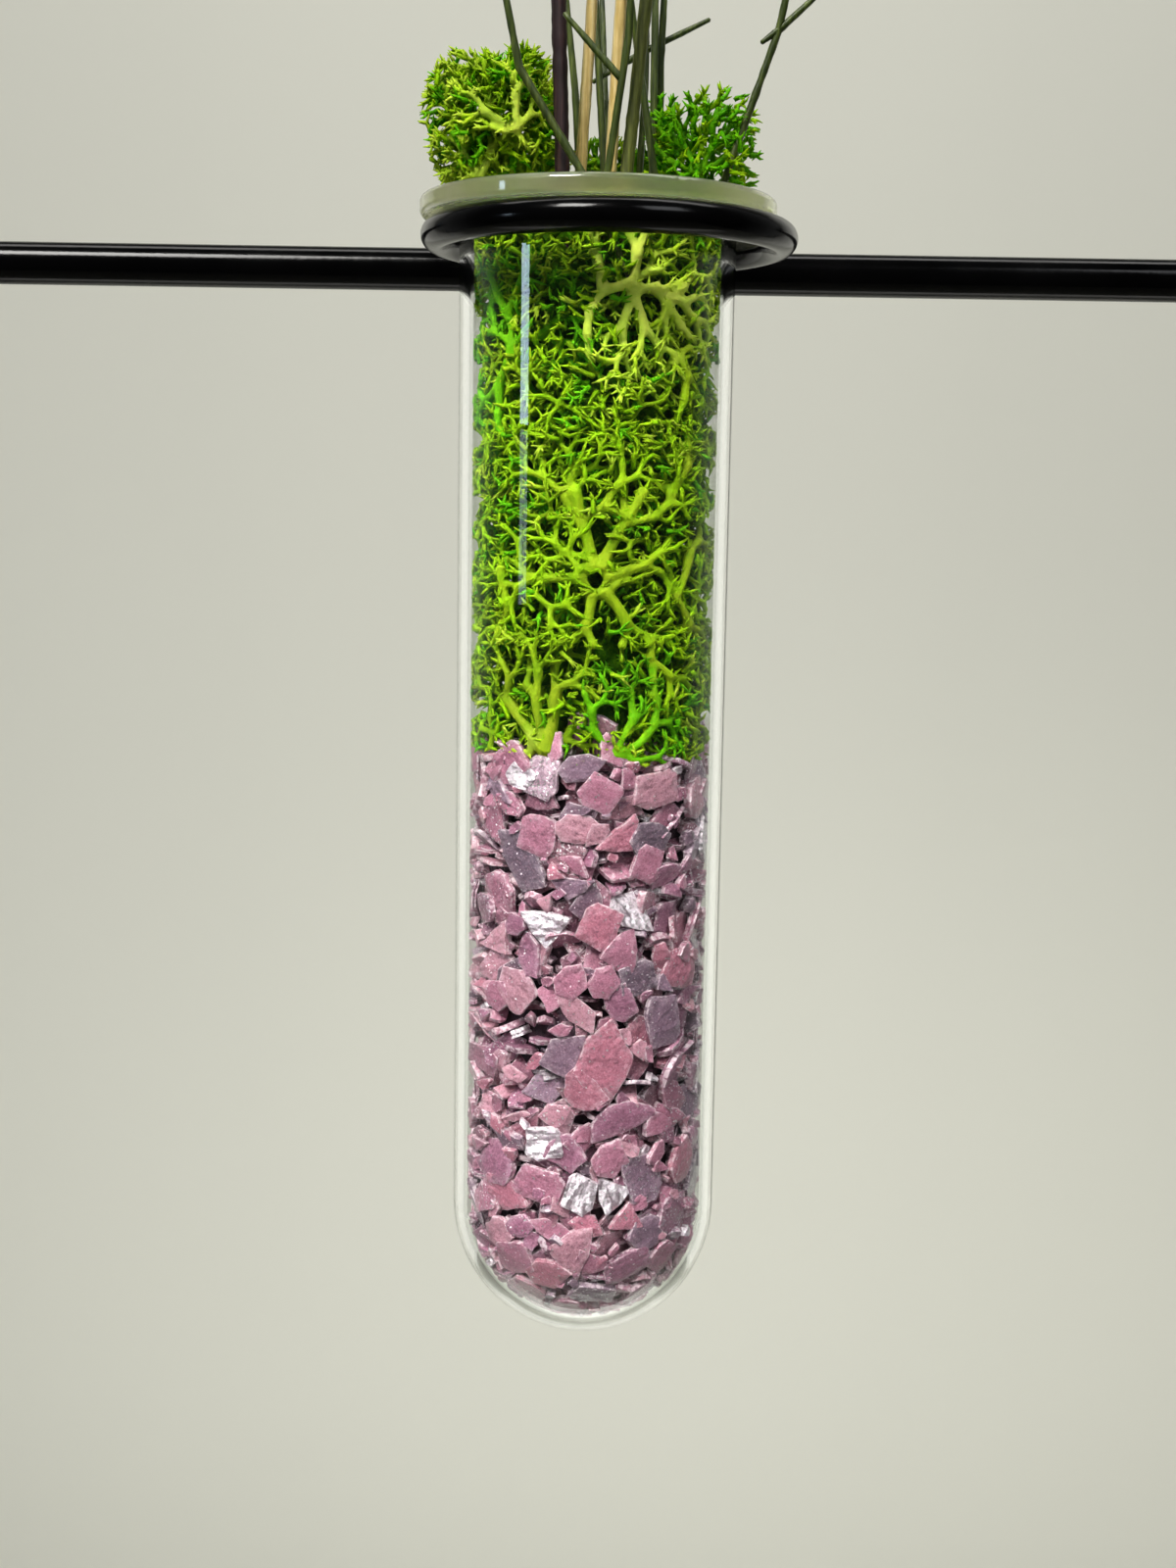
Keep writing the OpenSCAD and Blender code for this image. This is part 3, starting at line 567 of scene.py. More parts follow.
class Thicket:
    """Grows forked branches in a room, each into the clearest space near it."""

    def __init__(self, seed, room, tip_len=TIP_LEN):
        self.random, self.room, self.tip_len = random.Random(seed), room, tip_len
        self.points, self.fresh = [], []
        self.tree = kdtree.KDTree(0)
        self.tree.balance()
        self.branches, self.tips = [], []

    def jitter(self, amount):
        return Vector([self.random.gauss(0, amount) for _ in range(3)])

    def take(self, *points):
        self.points += points
        self.fresh += points
        if len(self.fresh) > 60:
            self.fresh = []
            self.tree = kdtree.KDTree(len(self.points))
            for i, p in enumerate(self.points):
                self.tree.insert(p, i)
            self.tree.balance()

    def clearance(self, p, start, own):
        """Distance from p to the nearest branch, leaving out what lies round the start of its own."""
        gap = NEVER
        for q, _, far in self.tree.find_n(p, 6):
            if (q - start).length > own:
                gap = far
                break
        for q in self.fresh:
            far = (q - p).length
            if far < gap and (q - start).length > own:
                gap = far
        return gap

    def branch(self, start, way, level, length, radius, tint, tries, room):
        """Lays one branch in the best of a few directions. Returns its end and its direction there, or None."""
        best, most = None, -1
        for _ in range(tries):
            aim = (way + self.jitter(0.1 + 0.02 * level)).normalized()
            middle = self.room.press(start + aim * length * 0.5, radius)
            if middle is None:
                continue
            end = self.room.press(middle + (aim + self.jitter(0.12)).normalized() * length * 0.5, radius)
            if end is None or (end - start).length < 0.45 * length:
                continue
            gap = self.clearance(end, start, 0.6 * length)
            if gap > most:
                best, most = (middle, end), gap
        if best is None or most < room:
            return None
        middle, end = best
        next_r = BRANCH_R[level + 1] if level < TWIG_LEVEL else radius * 0.8
        self.branches.append(Branch((start, middle, end), radius, min(next_r, radius), level, tint))
        self.take(middle, end)
        return end, (end - middle).normalized()

    def fork(self, way, out):
        """Directions of the branches after a fork, spread along the room's wall."""
        rand = self.random
        axis = (out + self.jitter(0.4)).normalized()
        first, second = FORK_TURN * rand.uniform(0.75, 1.3), -FORK_TURN * rand.uniform(0.75, 1.3)
        ways = [Quaternion(axis, first) @ way, Quaternion(axis, second) @ way]
        if rand.random() < 0.4:
            ways.append((way + out * 0.6 + self.jitter(0.3)).normalized())
        return ways

    def crown(self, end, way, radius, tint, count):
        """The short spikes that end a twig."""
        for _ in range(count):
            aim = (way * 0.8 + self.jitter(0.5)).normalized()
            tip = self.room.tip(end + aim * (self.tip_len * self.random.uniform(0.65, 1.35) + radius))
            if tip:
                self.tips.append(Tip(end - way * radius * 0.5, tip, radius * 0.85, TIP_LEVEL, tint))

    def grow(self, roots, crowding):
        """roots: (start, direction, level, tint), and for a set branch also its length and radius. A branch that has
        no room is tried as a thinner one, or ends in two spikes."""
        queue = collections.deque(roots)
        rand = self.random
        while queue:
            start, way, level, tint, *own = queue.popleft()
            length, radius = own or (BRANCH_LEN[level] * rand.uniform(0.75, 1.3), BRANCH_R[level])
            need = -1 if own else BRANCH_ROOM[level] * crowding
            laid = self.branch(start, way, level, length, radius, tint, 2 if own else 5, need)
            if laid is None:
                if level > 2:
                    self.crown(start, way, radius, tint, 2)
                else:
                    queue.append((start, way, level + 1, tint))
                continue
            end, onward = laid
            if level < TWIG_LEVEL:
                for child in self.fork(onward, self.room.out(end)):
                    queue.append((end, child, level + 1, tint))
            else:
                self.crown(end, onward, radius, tint, rand.randint(3, 4) if self.room.depth(end) < HIDDEN else 2)
            for _ in range(SIDE_SPIKES[level]):
                if rand.random() < 0.5:
                    at = start.lerp(end, rand.uniform(0.45 if own else 0.2, 0.95))
                    self.crown(at, (onward * 0.4 + self.jitter(0.8)).normalized(), max(radius * 0.6, 0.16), tint, 1)

    def free_place(self, shallow, deep, level, room):
        """A chance place between two depths, or None where it hasn't that much room."""
        p = self.room.press(self.room.any_place(self.random, shallow, deep), BRANCH_R[level])
        if p is None or self.clearance(p, Vector((NEVER,) * 3), 0) < room:
            return None
        return p

    def fill(self, count, shallow, deep, level, tints, crowding):
        """Plants small sprigs where there is room, between two depths."""
        for _ in range(count):
            p = self.free_place(shallow, deep, level, BRANCH_ROOM[level] * crowding)
            if p is not None:
                way = (self.jitter(0.8) + self.room.out(p)).normalized()
                self.grow([(p - way * 0.6, way, level, self.random.choice(tints))], crowding * 0.85)

    def fans(self, count, deep, level, tints, crowding):
        """Plants stars of branches that lie along the room's wall."""
        rand = self.random
        for _ in range(count):
            hub = self.free_place(deep, deep, level, 1.5 * crowding)
            if hub is None:
                continue
            out = self.room.out(hub)
            across = out.cross(Vector((0, 0, 1))).normalized()
            rise = across.cross(out)
            first, arms, tint = rand.uniform(0, 6.3), rand.randint(3, 5), rand.choice(tints)
            roots = []
            for i in range(arms):
                turn = first + 2 * math.pi * (i + rand.uniform(-0.2, 0.2)) / arms
                roots.append((hub, across * math.cos(turn) + rise * math.sin(turn) + out * 0.2, level, tint))
            self.grow(roots, crowding)


def shade_of(deep):
    """Share of their colour that branches keep so deep in the moss: the painted shade of the moss around them."""
    shade = np.exp(-np.maximum(np.asarray(deep), 0) / SHADE_DEPTH)[:, None]
    return (SHADE_LEAST + (1 - SHADE_LEAST) * shade) ** SHADE_POWERS


def shades(branches, deep, rng):
    """Colours of branches or tips: pale on trunks, richer on twigs, and darker the deeper they lie, by painted shade.
    """
    pale, rich = np.array([b.tint for b in branches]).transpose(1, 0, 2)
    share = np.clip(np.array([b.level for b in branches]) / 4.5, 0, 1)[:, None]
    return (pale * (1 - share) + rich * share) * rng.uniform(0.82, 1.15, (len(share), 1)) * shade_of(deep)


def all_values(items, key, each, kind):
    values = np.zeros(len(items) * each, kind)
    items.foreach_get(key, values)
    return values


def welded(branches, name):
    """Thick branches as one skin: tubes that a voxel remesh joins, smoothed so that the forks web. Returns its points
    in mm and its faces."""
    skin = Skin()
    paths = np.array([smooth_path([tuple(p) for p in b.path], 2) for b in branches])
    start, end = np.array([(b.radius, b.end_radius) for b in branches]).T
    waist = (start + end) * 0.45
    radii = np.stack([start * 1.15, (start + waist) / 2, waist, (end * 1.3 + waist) / 2, end * 1.3], 1)
    points, faces, _ = sweep(paths, radii, 6)
    skin.add(points, faces)
    mesh = skin.mesh(name + "_raw")
    raw = linked("raw", mesh)
    weld = raw.modifiers.new("weld", "REMESH")
    weld.mode = "VOXEL"
    weld.voxel_size = REMESH_VOXEL * MM
    even = raw.modifiers.new("even", "SMOOTH")
    even.factor, even.iterations = 0.5, 1
    depsgraph = bpy.context.evaluated_depsgraph_get()
    made = bpy.data.meshes.new_from_object(raw.evaluated_get(depsgraph))
    points = all_values(made.vertices, "co", 3, float)
    corners = all_values(made.loops, "vertex_index", 1, np.int32)
    sizes = all_values(made.polygons, "loop_total", 1, np.int32)
    starts = np.cumsum(sizes) - sizes
    faces = [corners[starts[sizes == n][:, None] + np.arange(n)] for n in np.unique(sizes)]
    bpy.data.objects.remove(raw)
    bpy.data.meshes.remove(mesh)
    bpy.data.meshes.remove(made)
    return points.reshape(-1, 3) / MM - ORIGIN, faces


def blended(points, branches, colours):
    """Colours of points on the welded skin, from the branches nearest to them."""
    tree = kdtree.KDTree(3 * len(branches))
    for i, b in enumerate(branches):
        for p in b.path:
            tree.insert(p, i)
    tree.balance()
    near = [tree.find_n(p, 4) for p in points]
    close = np.array([[1 / (0.2 + far) ** 3 for _, _, far in hits] for hits in near])
    close /= close.sum(1, keepdims=True)
    return (colours[np.array([[i for _, i, _ in hits] for hits in near])] * close[..., None]).sum(1)


def moss_skin(thicket, name):
    """Skin of a thicket: welded thick branches, then twigs and tips as fine tubes."""
    rng = np.random.default_rng(SHADES_SEED)
    depth = thicket.room.depth
    skin = Skin()
    branches, tips = thicket.branches, thicket.tips
    colours = shades(branches, np.zeros(len(branches)), rng)
    thick = [i for i, b in enumerate(branches) if b.level < TWIG_LEVEL]
    trunks = [branches[i] for i in thick]
    points, faces = welded(trunks, name)
    tint = blended(points, trunks, colours[thick]) * shade_of([depth(p) for p in points])
    skin.add(points, faces, tint=tint)

    twigs = [b for b in branches if b.level >= TWIG_LEVEL]
    paths = np.array([[tuple(p) for p in b.path] for b in twigs])
    radii = np.array([(b.radius * 1.1, b.radius * 0.85, b.end_radius * 1.05) for b in twigs])
    paths[:, 0] -= normal_rows(paths[:, 1] - paths[:, 0]) * radii[:, :1] * 0.5
    skin.tubes(paths, radii, 4, shades(twigs, [depth(p) for p in paths[:, 2]], rng))

    start, end = np.array([tuple(t.start) for t in tips]), np.array([tuple(t.end) for t in tips])
    middle = (start + end) / 2 + rng.normal(0, 0.06, start.shape)
    radius = np.array([t.radius for t in tips])
    radii = np.stack([radius, radius * 0.7, np.full(len(tips), TIP_R)], 1)
    # Tips are a tenth brighter: painted light on the moss's outermost points
    skin.tubes(np.stack([start, middle, end], 1), radii, 3, shades(tips, [depth(p) for p in end], rng) * 1.1)
    if isinstance(thicket.room, TubeRoom):
        # Painted shadow of the ring: the moss's colour is darker the nearer it lies under the ring
        ring_shadow = [np.clip(0.3 + 0.7 * at[:, 2:] / SHADE_Z, 0.3, 1) for at in skin.points]
        skin.values["tint"] = [tint * share for tint, share in zip(skin.values["tint"], ring_shadow)]
    return skin


# Pale and rich shade of each kind of moss
LIME = ((0.33, 0.46, 0.012), (0.25, 0.51, 0.001))
OLIVE = ((0.29, 0.38, 0.014), (0.19, 0.35, 0.001))
VIVID = ((0.17, 0.50, 0.004), (0.08, 0.40, 0.001))
PALE = ((0.50, 0.60, 0.08), (0.34, 0.54, 0.004))
DEEP = ((0.09, 0.26, 0.002), (0.05, 0.19, 0.001))
# BRIGHT is paler than the moss's own colour: painted light on clumps that lie in shade
BRIGHT = ((0.82, 0.92, 0.14), (0.50, 0.78, 0.008))
MOSS_TINTS = [LIME, LIME, LIME, PALE, OLIVE]
BACK_TINTS = [LIME, VIVID, VIVID, DEEP, OLIVE]

# The hub of a large clump is a small ring of branches, so far round an eye
HUB_EYE = 1.35
HUB_R = 0.42
# How deep in the packing the clumps at its front start
HUB_DEPTH = 0.9
CORE_R = 9.1


def on_glass(x, z):
    """Start of a clump at the front, where it stands in the photograph."""
    r = FILL_R - HUB_DEPTH
    return Vector((x, -math.sqrt(max(r * r - x * x, 0)), z))


def along_glass(angle):
    a = math.radians(angle)
    return Vector((math.cos(a), 0, math.sin(a)))


# Large clumps at the front: where each starts (across, up), its tint, and its first branches as
# (angle, length, radius)
FRONT_CLUMPS = {
    "moss_star": [
        (0.2, -38.2, LIME, [
            (104, 4.9, 0.86), (63, 5.6, 0.8), (15, 4.4, 0.66), (-50, 4.4, 0.82), (-100, 3.8, 0.7), (172, 5.6, 0.72),
        ]),
        (-8.6, -41.5, LIME, [(100, 4.6, 0.5), (60, 4.0, 0.46), (-120, 3.4, 0.42)]),
        (8.6, -40.0, OLIVE, [(70, 5.4, 0.5), (110, 4.6, 0.46), (-60, 3.6, 0.44)]),
    ],
    "moss_upper_right": [
        (0.6, -8.6, BRIGHT, [(0, 3.0, 0.66), (188, 2.4, 0.5), (-118, 2.4, 0.44), (100, 4.4, 0.66)]),
        (3.6, -8.6, BRIGHT, [(0, 2.8, 0.6), (-94, 3.6, 0.52), (-66, 4.0, 0.5), (72, 4.2, 0.56)]),
        (6.6, -8.9, BRIGHT, [(30, 2.8, 0.46), (-16, 3.0, 0.44), (-52, 3.8, 0.46), (-84, 2.8, 0.42)]),
        (8.0, -14.5, LIME, [(-60, 3.0, 0.42), (-110, 3.4, 0.42), (20, 2.6, 0.4)]),
    ],
    "moss_middle": [
        (-1.3, -32.6, LIME, [(128, 3.6, 0.52), (88, 3.8, 0.56), (52, 3.2, 0.46)]),
        (3.3, -32.4, LIME, [(104, 3.8, 0.5), (62, 4.2, 0.56), (18, 3.4, 0.46)]),
        (8.0, -29.5, OLIVE, [(78, 3.6, 0.44), (130, 3.0, 0.4)]),
    ],
    "moss_low_left": [
        (-4.6, -56.4, OLIVE, [(90, 6.4, 1.0), (47, 8.6, 0.86), (134, 8.2, 0.8), (112, 6.0, 0.5)]),
    ],
    "moss_low_right": [
        (2.6, -56.6, VIVID, [(22, 6.0, 0.5), (-10, 6.0, 0.46), (125, 3.4, 0.46), (64, 4.4, 0.44)]),
        (6.0, -46.5, LIME, [(70, 4.0, 0.5), (110, 4.0, 0.5), (-70, 4.0, 0.5), (-20, 3.6, 0.42)]),
    ],
    "moss_upper_left": [
        (-8.6, -14.0, VIVID, [
            (95, 3.4, 0.44), (30, 3.2, 0.42), (150, 3.2, 0.4), (-70, 4.2, 0.46), (-110, 4.6, 0.46),
        ]),
    ],
}
# The packing's pieces: bottom, top and the side they keep to. Then, for a height of WAD_UNIT, how many large fans to
# try and their level, outward bushes, and small sprigs at the glass. Each also has SPRIGS_BEHIND.
WADS = {
    "moss_upper_left": (-23.5, 0.6, -1, 90, 3, 12, 900),
    "moss_upper_right": (-25.0, 0.6, 1, 90, 3, 8, 800),
    "moss_middle": (-32.0, -21.5, 0, 90, 3, 14, 1100),
    "moss_star": (-45.5, -30.6, 0, 120, 2, 4, 600),
    "moss_low_left": (-57.6, -43.5, -1, 120, 2, 4, 600),
    "moss_low_right": (-57.8, -43.5, 1, 110, 3, 8, 800),
}
WAD_UNIT = 11
SPRIGS_BEHIND = 420


def bush_roots(thicket, count, deep):
    """Places for clumps that grow out towards the glass, from so deep."""
    roots = []
    for _ in range(count):
        p = thicket.room.any_place(thicket.random, 0, 0.1)
        out = thicket.room.out(p)
        way = (out + thicket.jitter(0.5)).normalized()
        roots.append((p - out * deep, way, 2, thicket.random.choice(MOSS_TINTS)))
    return roots


def make_wad(index, node, material):
    low, high, side, fans, level, bushes, sprigs = WADS[node]
    thicket = Thicket(WAD_SEED + index, TubeRoom(low, high, side))
    for x, z, tint, arms in FRONT_CLUMPS[node]:
        hub = on_glass(x, z)
        thicket.take(hub)
        eye = HUB_EYE if len(arms) > 5 else 0.0
        starts = [hub + along_glass(a) * eye for a, _, _ in arms]
        if eye:
            for a, b in zip(starts, starts[1:] + starts[:1]):
                thicket.branches.append(Branch((a, (a + b) / 2, b), HUB_R, HUB_R, 0, tint))
        # A large clump may cross the hollows
        thicket.room.hollows, kept = [], thicket.room.hollows
        thicket.grow([(p, along_glass(a), 0, tint, long, r) for p, (a, long, r) in zip(starts, arms)], 1.15)
        thicket.room.hollows = kept
    scale = (high - low) * (1 if side == 0 else 0.5) / WAD_UNIT
    thicket.fans(int(fans * scale), 0.9, level, MOSS_TINTS, 1.1)
    thicket.grow(bush_roots(thicket, int(bushes * scale), 4.0), 1.0)
    thicket.fill(int(sprigs * scale), 0.0, 1.8, 4, [*MOSS_TINTS, VIVID], 1.1)
    thicket.fill(int(SPRIGS_BEHIND * scale), 1.9, 4.2, 3, BACK_TINTS, 1.0)
    return moss_skin(thicket, node).piece("dress_" + node, "arrangement", material, "moss", [node])


# The tufts over the lip: centre, half widths, squareness, tints, how far apart their branches stand, and the foot
TUFTS = {
    "moss_tuft_left": ((-10.9, -1.9, 9.8), (7.3, 7.4, 7.6), 3.0, [LIME, PALE, PALE, VIVID], 0.9, (-7.0, -1.0, 0.6)),
    "moss_tuft_right": ((11.0, 1.6, 7.6), (5.8, 5.6, 6.2), 4.0, [VIVID, LIME, VIVID], 1.3, (8.6, 1.0, 0.6)),
    "moss_tuft_back": ((1.6, 9.0, 5.6), (4.8, 4.4, 5.0), 2.2, [DEEP, DEEP, OLIVE], 1.2, (1.0, 6.4, 0.6)),
}
# Their clumps at the front: where each starts, its tint, and its first branches as (angle, length, radius)
TUFT_CLUMPS = {
    "moss_tuft_left": [
        ((-8.6, -9.0, 7.8), BRIGHT, [
            (58, 3.4, 0.55), (100, 3.6, 0.55), (140, 3.8, 0.48), (178, 4.0, 0.5), (212, 3.4, 0.46), (12, 3.2, 0.46),
            (-42, 6.4, 0.85),
        ]),
        ((-12.5, -7.0, 3.4), PALE, [(120, 3.6, 0.5), (60, 3.4, 0.5), (180, 3.4, 0.45)]),
    ],
    "moss_tuft_right": [
        ((10.6, -2.0, 4.6), VIVID, [
            (70, 3.6, 0.4), (110, 3.6, 0.4), (150, 3.4, 0.36), (30, 3.4, 0.36), (-60, 3.0, 0.45),
        ]),
    ],
    "moss_tuft_back": [],
}
# The tufts stand over this height, and each grows from that many roots at its foot
TUFT_FLOOR, ROOT_LEAST = 0.4, 0.6
TUFT_ROOTS = 16
TUFT_TIP_LEN = 0.6
# Sprigs that fill a tuft: from and to what depth, and their level
TUFT_FILL = [(2.4, 4.5, 2), (1.2, 3.0, 3), (0.3, 1.8, 4)]


def make_tuft(index, node, material):
    centre, radii, square, tints, crowding, foot = TUFTS[node]
    room = BushRoom(centre, radii, TUFT_FLOOR, square, index)
    thicket = Thicket(TUFT_SEED + index, room, TUFT_TIP_LEN)
    for hub, tint, arms in TUFT_CLUMPS[node]:
        hub = Vector(hub)
        thicket.take(hub)
        thicket.grow([(hub, along_glass(a), 1, tint, length, radius) for a, length, radius in arms], crowding)
    foot = Vector(foot)
    rise = (Vector(centre) - foot).normalized()
    starts = [(foot + thicket.jitter(1.6), (rise + thicket.jitter(0.55)).normalized()) for _ in range(TUFT_ROOTS)]
    for p, _ in starts:
        p.z = max(p.z, ROOT_LEAST)
    thicket.grow([(p, way, 0, thicket.random.choice(tints)) for p, way in starts], crowding * 0.8)
    for shallow, deep, level in TUFT_FILL:
        thicket.fill(int(sum(radii) ** 2), shallow, deep, level, tints, crowding)
    return moss_skin(thicket, node).piece("dress_" + node, "arrangement", material, "moss", [node])


def make_core(material):
    """Moss behind the fans, coloured dark green as painted shade of the packing's depths, so that nothing shows
    through the packing.
    """
    rng = np.random.default_rng(CORE_SEED)
    turns, levels, waves = 96, 120, 9
    low, high = BED_Z + 1.2, 0.4
    phase = rng.uniform(0, 2 * math.pi, (waves, 2))
    z, a = np.meshgrid(np.linspace(low, high, levels), np.arange(turns) * 2 * math.pi / turns, indexing="ij")
    lump = sum(np.sin((i + 2) * a + phase[i][0]) * np.sin(z * (0.35 + 0.11 * i) + phase[i][1]) for i in range(waves))
    r = CORE_R + 0.28 * lump + rng.normal(0, 0.25, z.shape)
    points = np.stack([r * np.cos(a), r * np.sin(a), z], -1).reshape(-1, 3)
    skin = Skin()
    points = np.concatenate([points, [(0, 0, low), (0, 0, high)]])
    # Painted shade: the core is coloured as dark as the moss deep in the packing looks
    skin.add(points, ring_faces(levels, turns), tint=(0.02, 0.08, 0.001))
    return skin.piece("moss_core", "arrangement", material, "moss")


# ---- Stone flakes ----

CHIP_NODES = ("chips_top", "chips_upper", "chips_middle", "chips_lower", "chips_bottom")
BED_SEED = 11
# Colours of the flakes, and those that a chance flake gets
MAUVE, ROSE, PLUM, SLATE = (0.45, 0.175, 0.26), (0.50, 0.175, 0.245), (0.35, 0.14, 0.225), (0.15, 0.11, 0.15)
DUSK, BLUSH = (0.245, 0.155, 0.22), (0.56, 0.27, 0.34)
FLAKE_TINTS = np.array([MAUVE, MAUVE, MAUVE, ROSE, PLUM, PLUM, PLUM, DUSK, BLUSH, BLUSH])
SILVER = (0.86, 0.76, 0.84)
PEARL = (0.62, 0.42, 0.52)
# Outlines of the flakes that stand out, as shares of their half length and half width
OUTLINES = {
    "petal": [(1, 0.0), (0.45, 0.82), (-0.4, 1), (-1, 0.3), (-0.8, -0.65), (0.15, -1)],
    "moon": [(1, -0.75), (0.92, -0.1), (0.45, 0.75), (-0.2, 1), (-0.8, 0.45), (-1, -0.6), (-0.1, -0.8)],
    "wedge": [(-1, 0.75), (-0.1, 0.95), (1, 0.8), (0.8, 0.2), (0.1, -1), (-0.5, -0.2)],
    "block": [(-0.75, 1), (0.7, 0.95), (1, 0.55), (0.9, -0.9), (-0.45, -1), (-1, -0.55)],
}
# The flakes that stand out in the photograph: across, up, length, width, spin in degrees, outline, tint, shine
FRONT_FLAKES = [
    (2.2, -89.8, 9.2, 6.2, 80, "petal", ROSE, 0.15),
    (4.0, -96.5, 7.8, 4.0, 24, "moon", PLUM, 0.1),
    (8.4, -85.9, 6.4, 4.2, -78, "block", DUSK, 0.1),
    (-7.3, -68.2, 7.6, 4.0, -62, "block", SLATE, 0.1),
    (6.7, -65.9, 5.0, 4.4, 15, "petal", SLATE, 0.2),
    (-4.7, -75.6, 5.8, 4.4, -4, "wedge", SILVER, 0.85),
    (1.3, -75.2, 5.0, 4.2, 70, "block", ROSE, 0.2),
    (-9.6, -83.6, 4.0, 3.5, 60, "petal", MAUVE, 0.1),
    (-1.6, -81.0, 4.6, 3.6, 60, "petal", MAUVE, 0.1),
    (2.0, -81.1, 4.2, 3.4, 70, "petal", MAUVE, 0.15),
    (5.5, -80.9, 4.4, 3.6, 20, "block", SLATE, 0.25),
    (5.9, -88.9, 7.6, 3.6, 75, "block", ROSE, 0.1),
    (3.0, -100.8, 4.8, 4.0, 65, "petal", MAUVE, 0.15),
    (10.9, -102.4, 5.6, 4.0, 80, "petal", ROSE, 0.2),
    (-4.4, -99.4, 4.2, 3.9, 10, "block", SILVER, 0.9),
    (-0.4, -105.0, 4.6, 3.6, 75, "block", SILVER, 0.9),
    (3.5, -105.0, 4.6, 3.8, 100, "wedge", SILVER, 1.0),
    (-5.0, -104.2, 5.8, 4.0, -12, "block", MAUVE, 0.15),
    (-8.5, -105.9, 6.4, 4.0, -20, "petal", ROSE, 0.1),
    (7.3, -109.7, 5.2, 4.2, 25, "petal", DUSK, 0.1),
    (-9.1, -110.7, 4.0, 3.8, 0, "petal", BLUSH, 0.1),
    (-8.5, -57.9, 4.6, 4.2, 40, "block", MAUVE, 0.1),
    (-5.0, -59.2, 5.0, 3.6, 80, "block", PEARL, 0.55),
    (-0.8, -57.9, 5.4, 3.2, 20, "petal", DUSK, 0.2),
    (-5.7, -61.4, 4.2, 3.8, -60, "wedge", MAUVE, 0.1),
    (1.1, -60.7, 4.4, 3.8, -30, "block", MAUVE, 0.1),
    (7.1, -60.4, 5.6, 4.0, 10, "block", BLUSH, 0.15),
    (-5.5, -65.5, 4.8, 4.2, 80, "block", MAUVE, 0.1),
    (-1.0, -64.5, 5.4, 3.4, 5, "petal", BLUSH, 0.2),
    (-2.7, -67.6, 4.6, 4.0, 60, "block", BLUSH, 0.55),
    (3.8, -65.8, 5.6, 3.4, 40, "wedge", ROSE, 0.1),
    (6.3, -68.5, 4.2, 3.4, 75, "block", MAUVE, 0.15),
    (-7.5, -113.2, 4.8, 4.0, 15, "block", MAUVE, 0.1),
    (-3.6, -114.6, 5.6, 3.8, 10, "petal", ROSE, 0.15),
    (0.8, -113.0, 4.4, 2.8, -35, "wedge", MAUVE, 0.2),
    (4.9, -113.6, 5.8, 3.2, 28, "block", PLUM, 0.2),
    (8.8, -113.4, 4.2, 3.2, 60, "block", MAUVE, 0.1),
    (1.2, -117.0, 5.0, 2.8, -8, "block", DUSK, 0.3),
    (-6.2, -117.4, 4.6, 3.4, -35, "block", BLUSH, 0.1),
    (6.4, -117.4, 4.0, 3.0, 50, "petal", PLUM, 0.1),
    (-1.6, -119.2, 4.4, 3.4, 50, "petal", MAUVE, 0.1),
    (3.2, -120.0, 4.6, 3.4, -20, "wedge", MAUVE, 0.15),
]
# Rounds of other flakes, the large ones first: how many to try, their least length and how much longer they are on
# the whole, in mm, and the share of them that lies with its face to the glass
SCATTER = [
    (700, 3.2, 2.6, 0.7),
    (2200, 2.8, 2.8, 0.1),
    (5000, 2.0, 2.2, 0.14),
    (5000, 1.4, 1.4, 0.18),
    (2500, 0.9, 0.8, 0.3),
]
LONGEST = 6.2
# How many flakes lie on the bed, and how far from the tube's axis
TOP_FLAKES, TOP_R = 70, 12.0
# The chart's cells and the steps between its layers, in mm
CHART_CELL = 0.3
CHART_LAYERS = 6
LAYER_STEP = 0.55
# Painted shade: each layer of flakes is that share as bright as the one in front of it
LAYER_SHADE = 0.62
# A flake is laid where no more than this share of it is taken: a chance one, and one of the photograph
CROWDED, CROWDED_FRONT = 0.06, 0.16


def capsule_out(p):
    """Distance of points from the tube's axis or the dome's centre, and the way out there."""
    low = p[..., 2] < DOME_Z
    rel = np.where(low[..., None], p - (0, 0, DOME_Z), p * (1, 1, 0))
    far = np.linalg.norm(rel, axis=-1)
    return far, rel / np.maximum(far, 1e-6)[..., None]


def flake_corners(rng, kind):
    """Corners of a flake's outline, as shares of its half length and half width."""
    if kind:
        return np.array(OUTLINES[kind]) + rng.normal(0, 0.03, (len(OUTLINES[kind]), 2))
    if rng.random() < 0.4:
        kind = list(OUTLINES)[rng.integers(len(OUTLINES))]
        return np.array(OUTLINES[kind]) + rng.normal(0, 0.09, (len(OUTLINES[kind]), 2))
    n = rng.integers(4, 8)
    angles = (np.arange(n) + rng.uniform(-0.36, 0.36, n)) * 2 * math.pi / n
    reach = rng.uniform(0.76, 1.14, n)
    return np.stack([np.cos(angles) * reach, np.sin(angles) * reach], 1)


def flake_outline(rng, length, width, kind):
    """Points round a flake: its corners are cut off and worn, and its sides bend a little."""
    corners = flake_corners(rng, kind) * (length / 2, width / 2)
    before, after = np.roll(corners, 1, 0), np.roll(corners, -1, 0)
    cut = rng.uniform(0.02, 0.09, len(corners))[:, None]
    edge = (corners + after) / 2 + rng.normal(0, 0.02 * width, corners.shape)
    worn = corners + (before + after - 2 * corners) * cut * 0.28
    outline = np.stack([corners + (before - corners) * cut, worn, corners + (after - corners) * cut, edge], 1)
    outline = outline.reshape(-1, 2)
    return outline + rng.normal(0, 0.007 * width, outline.shape)


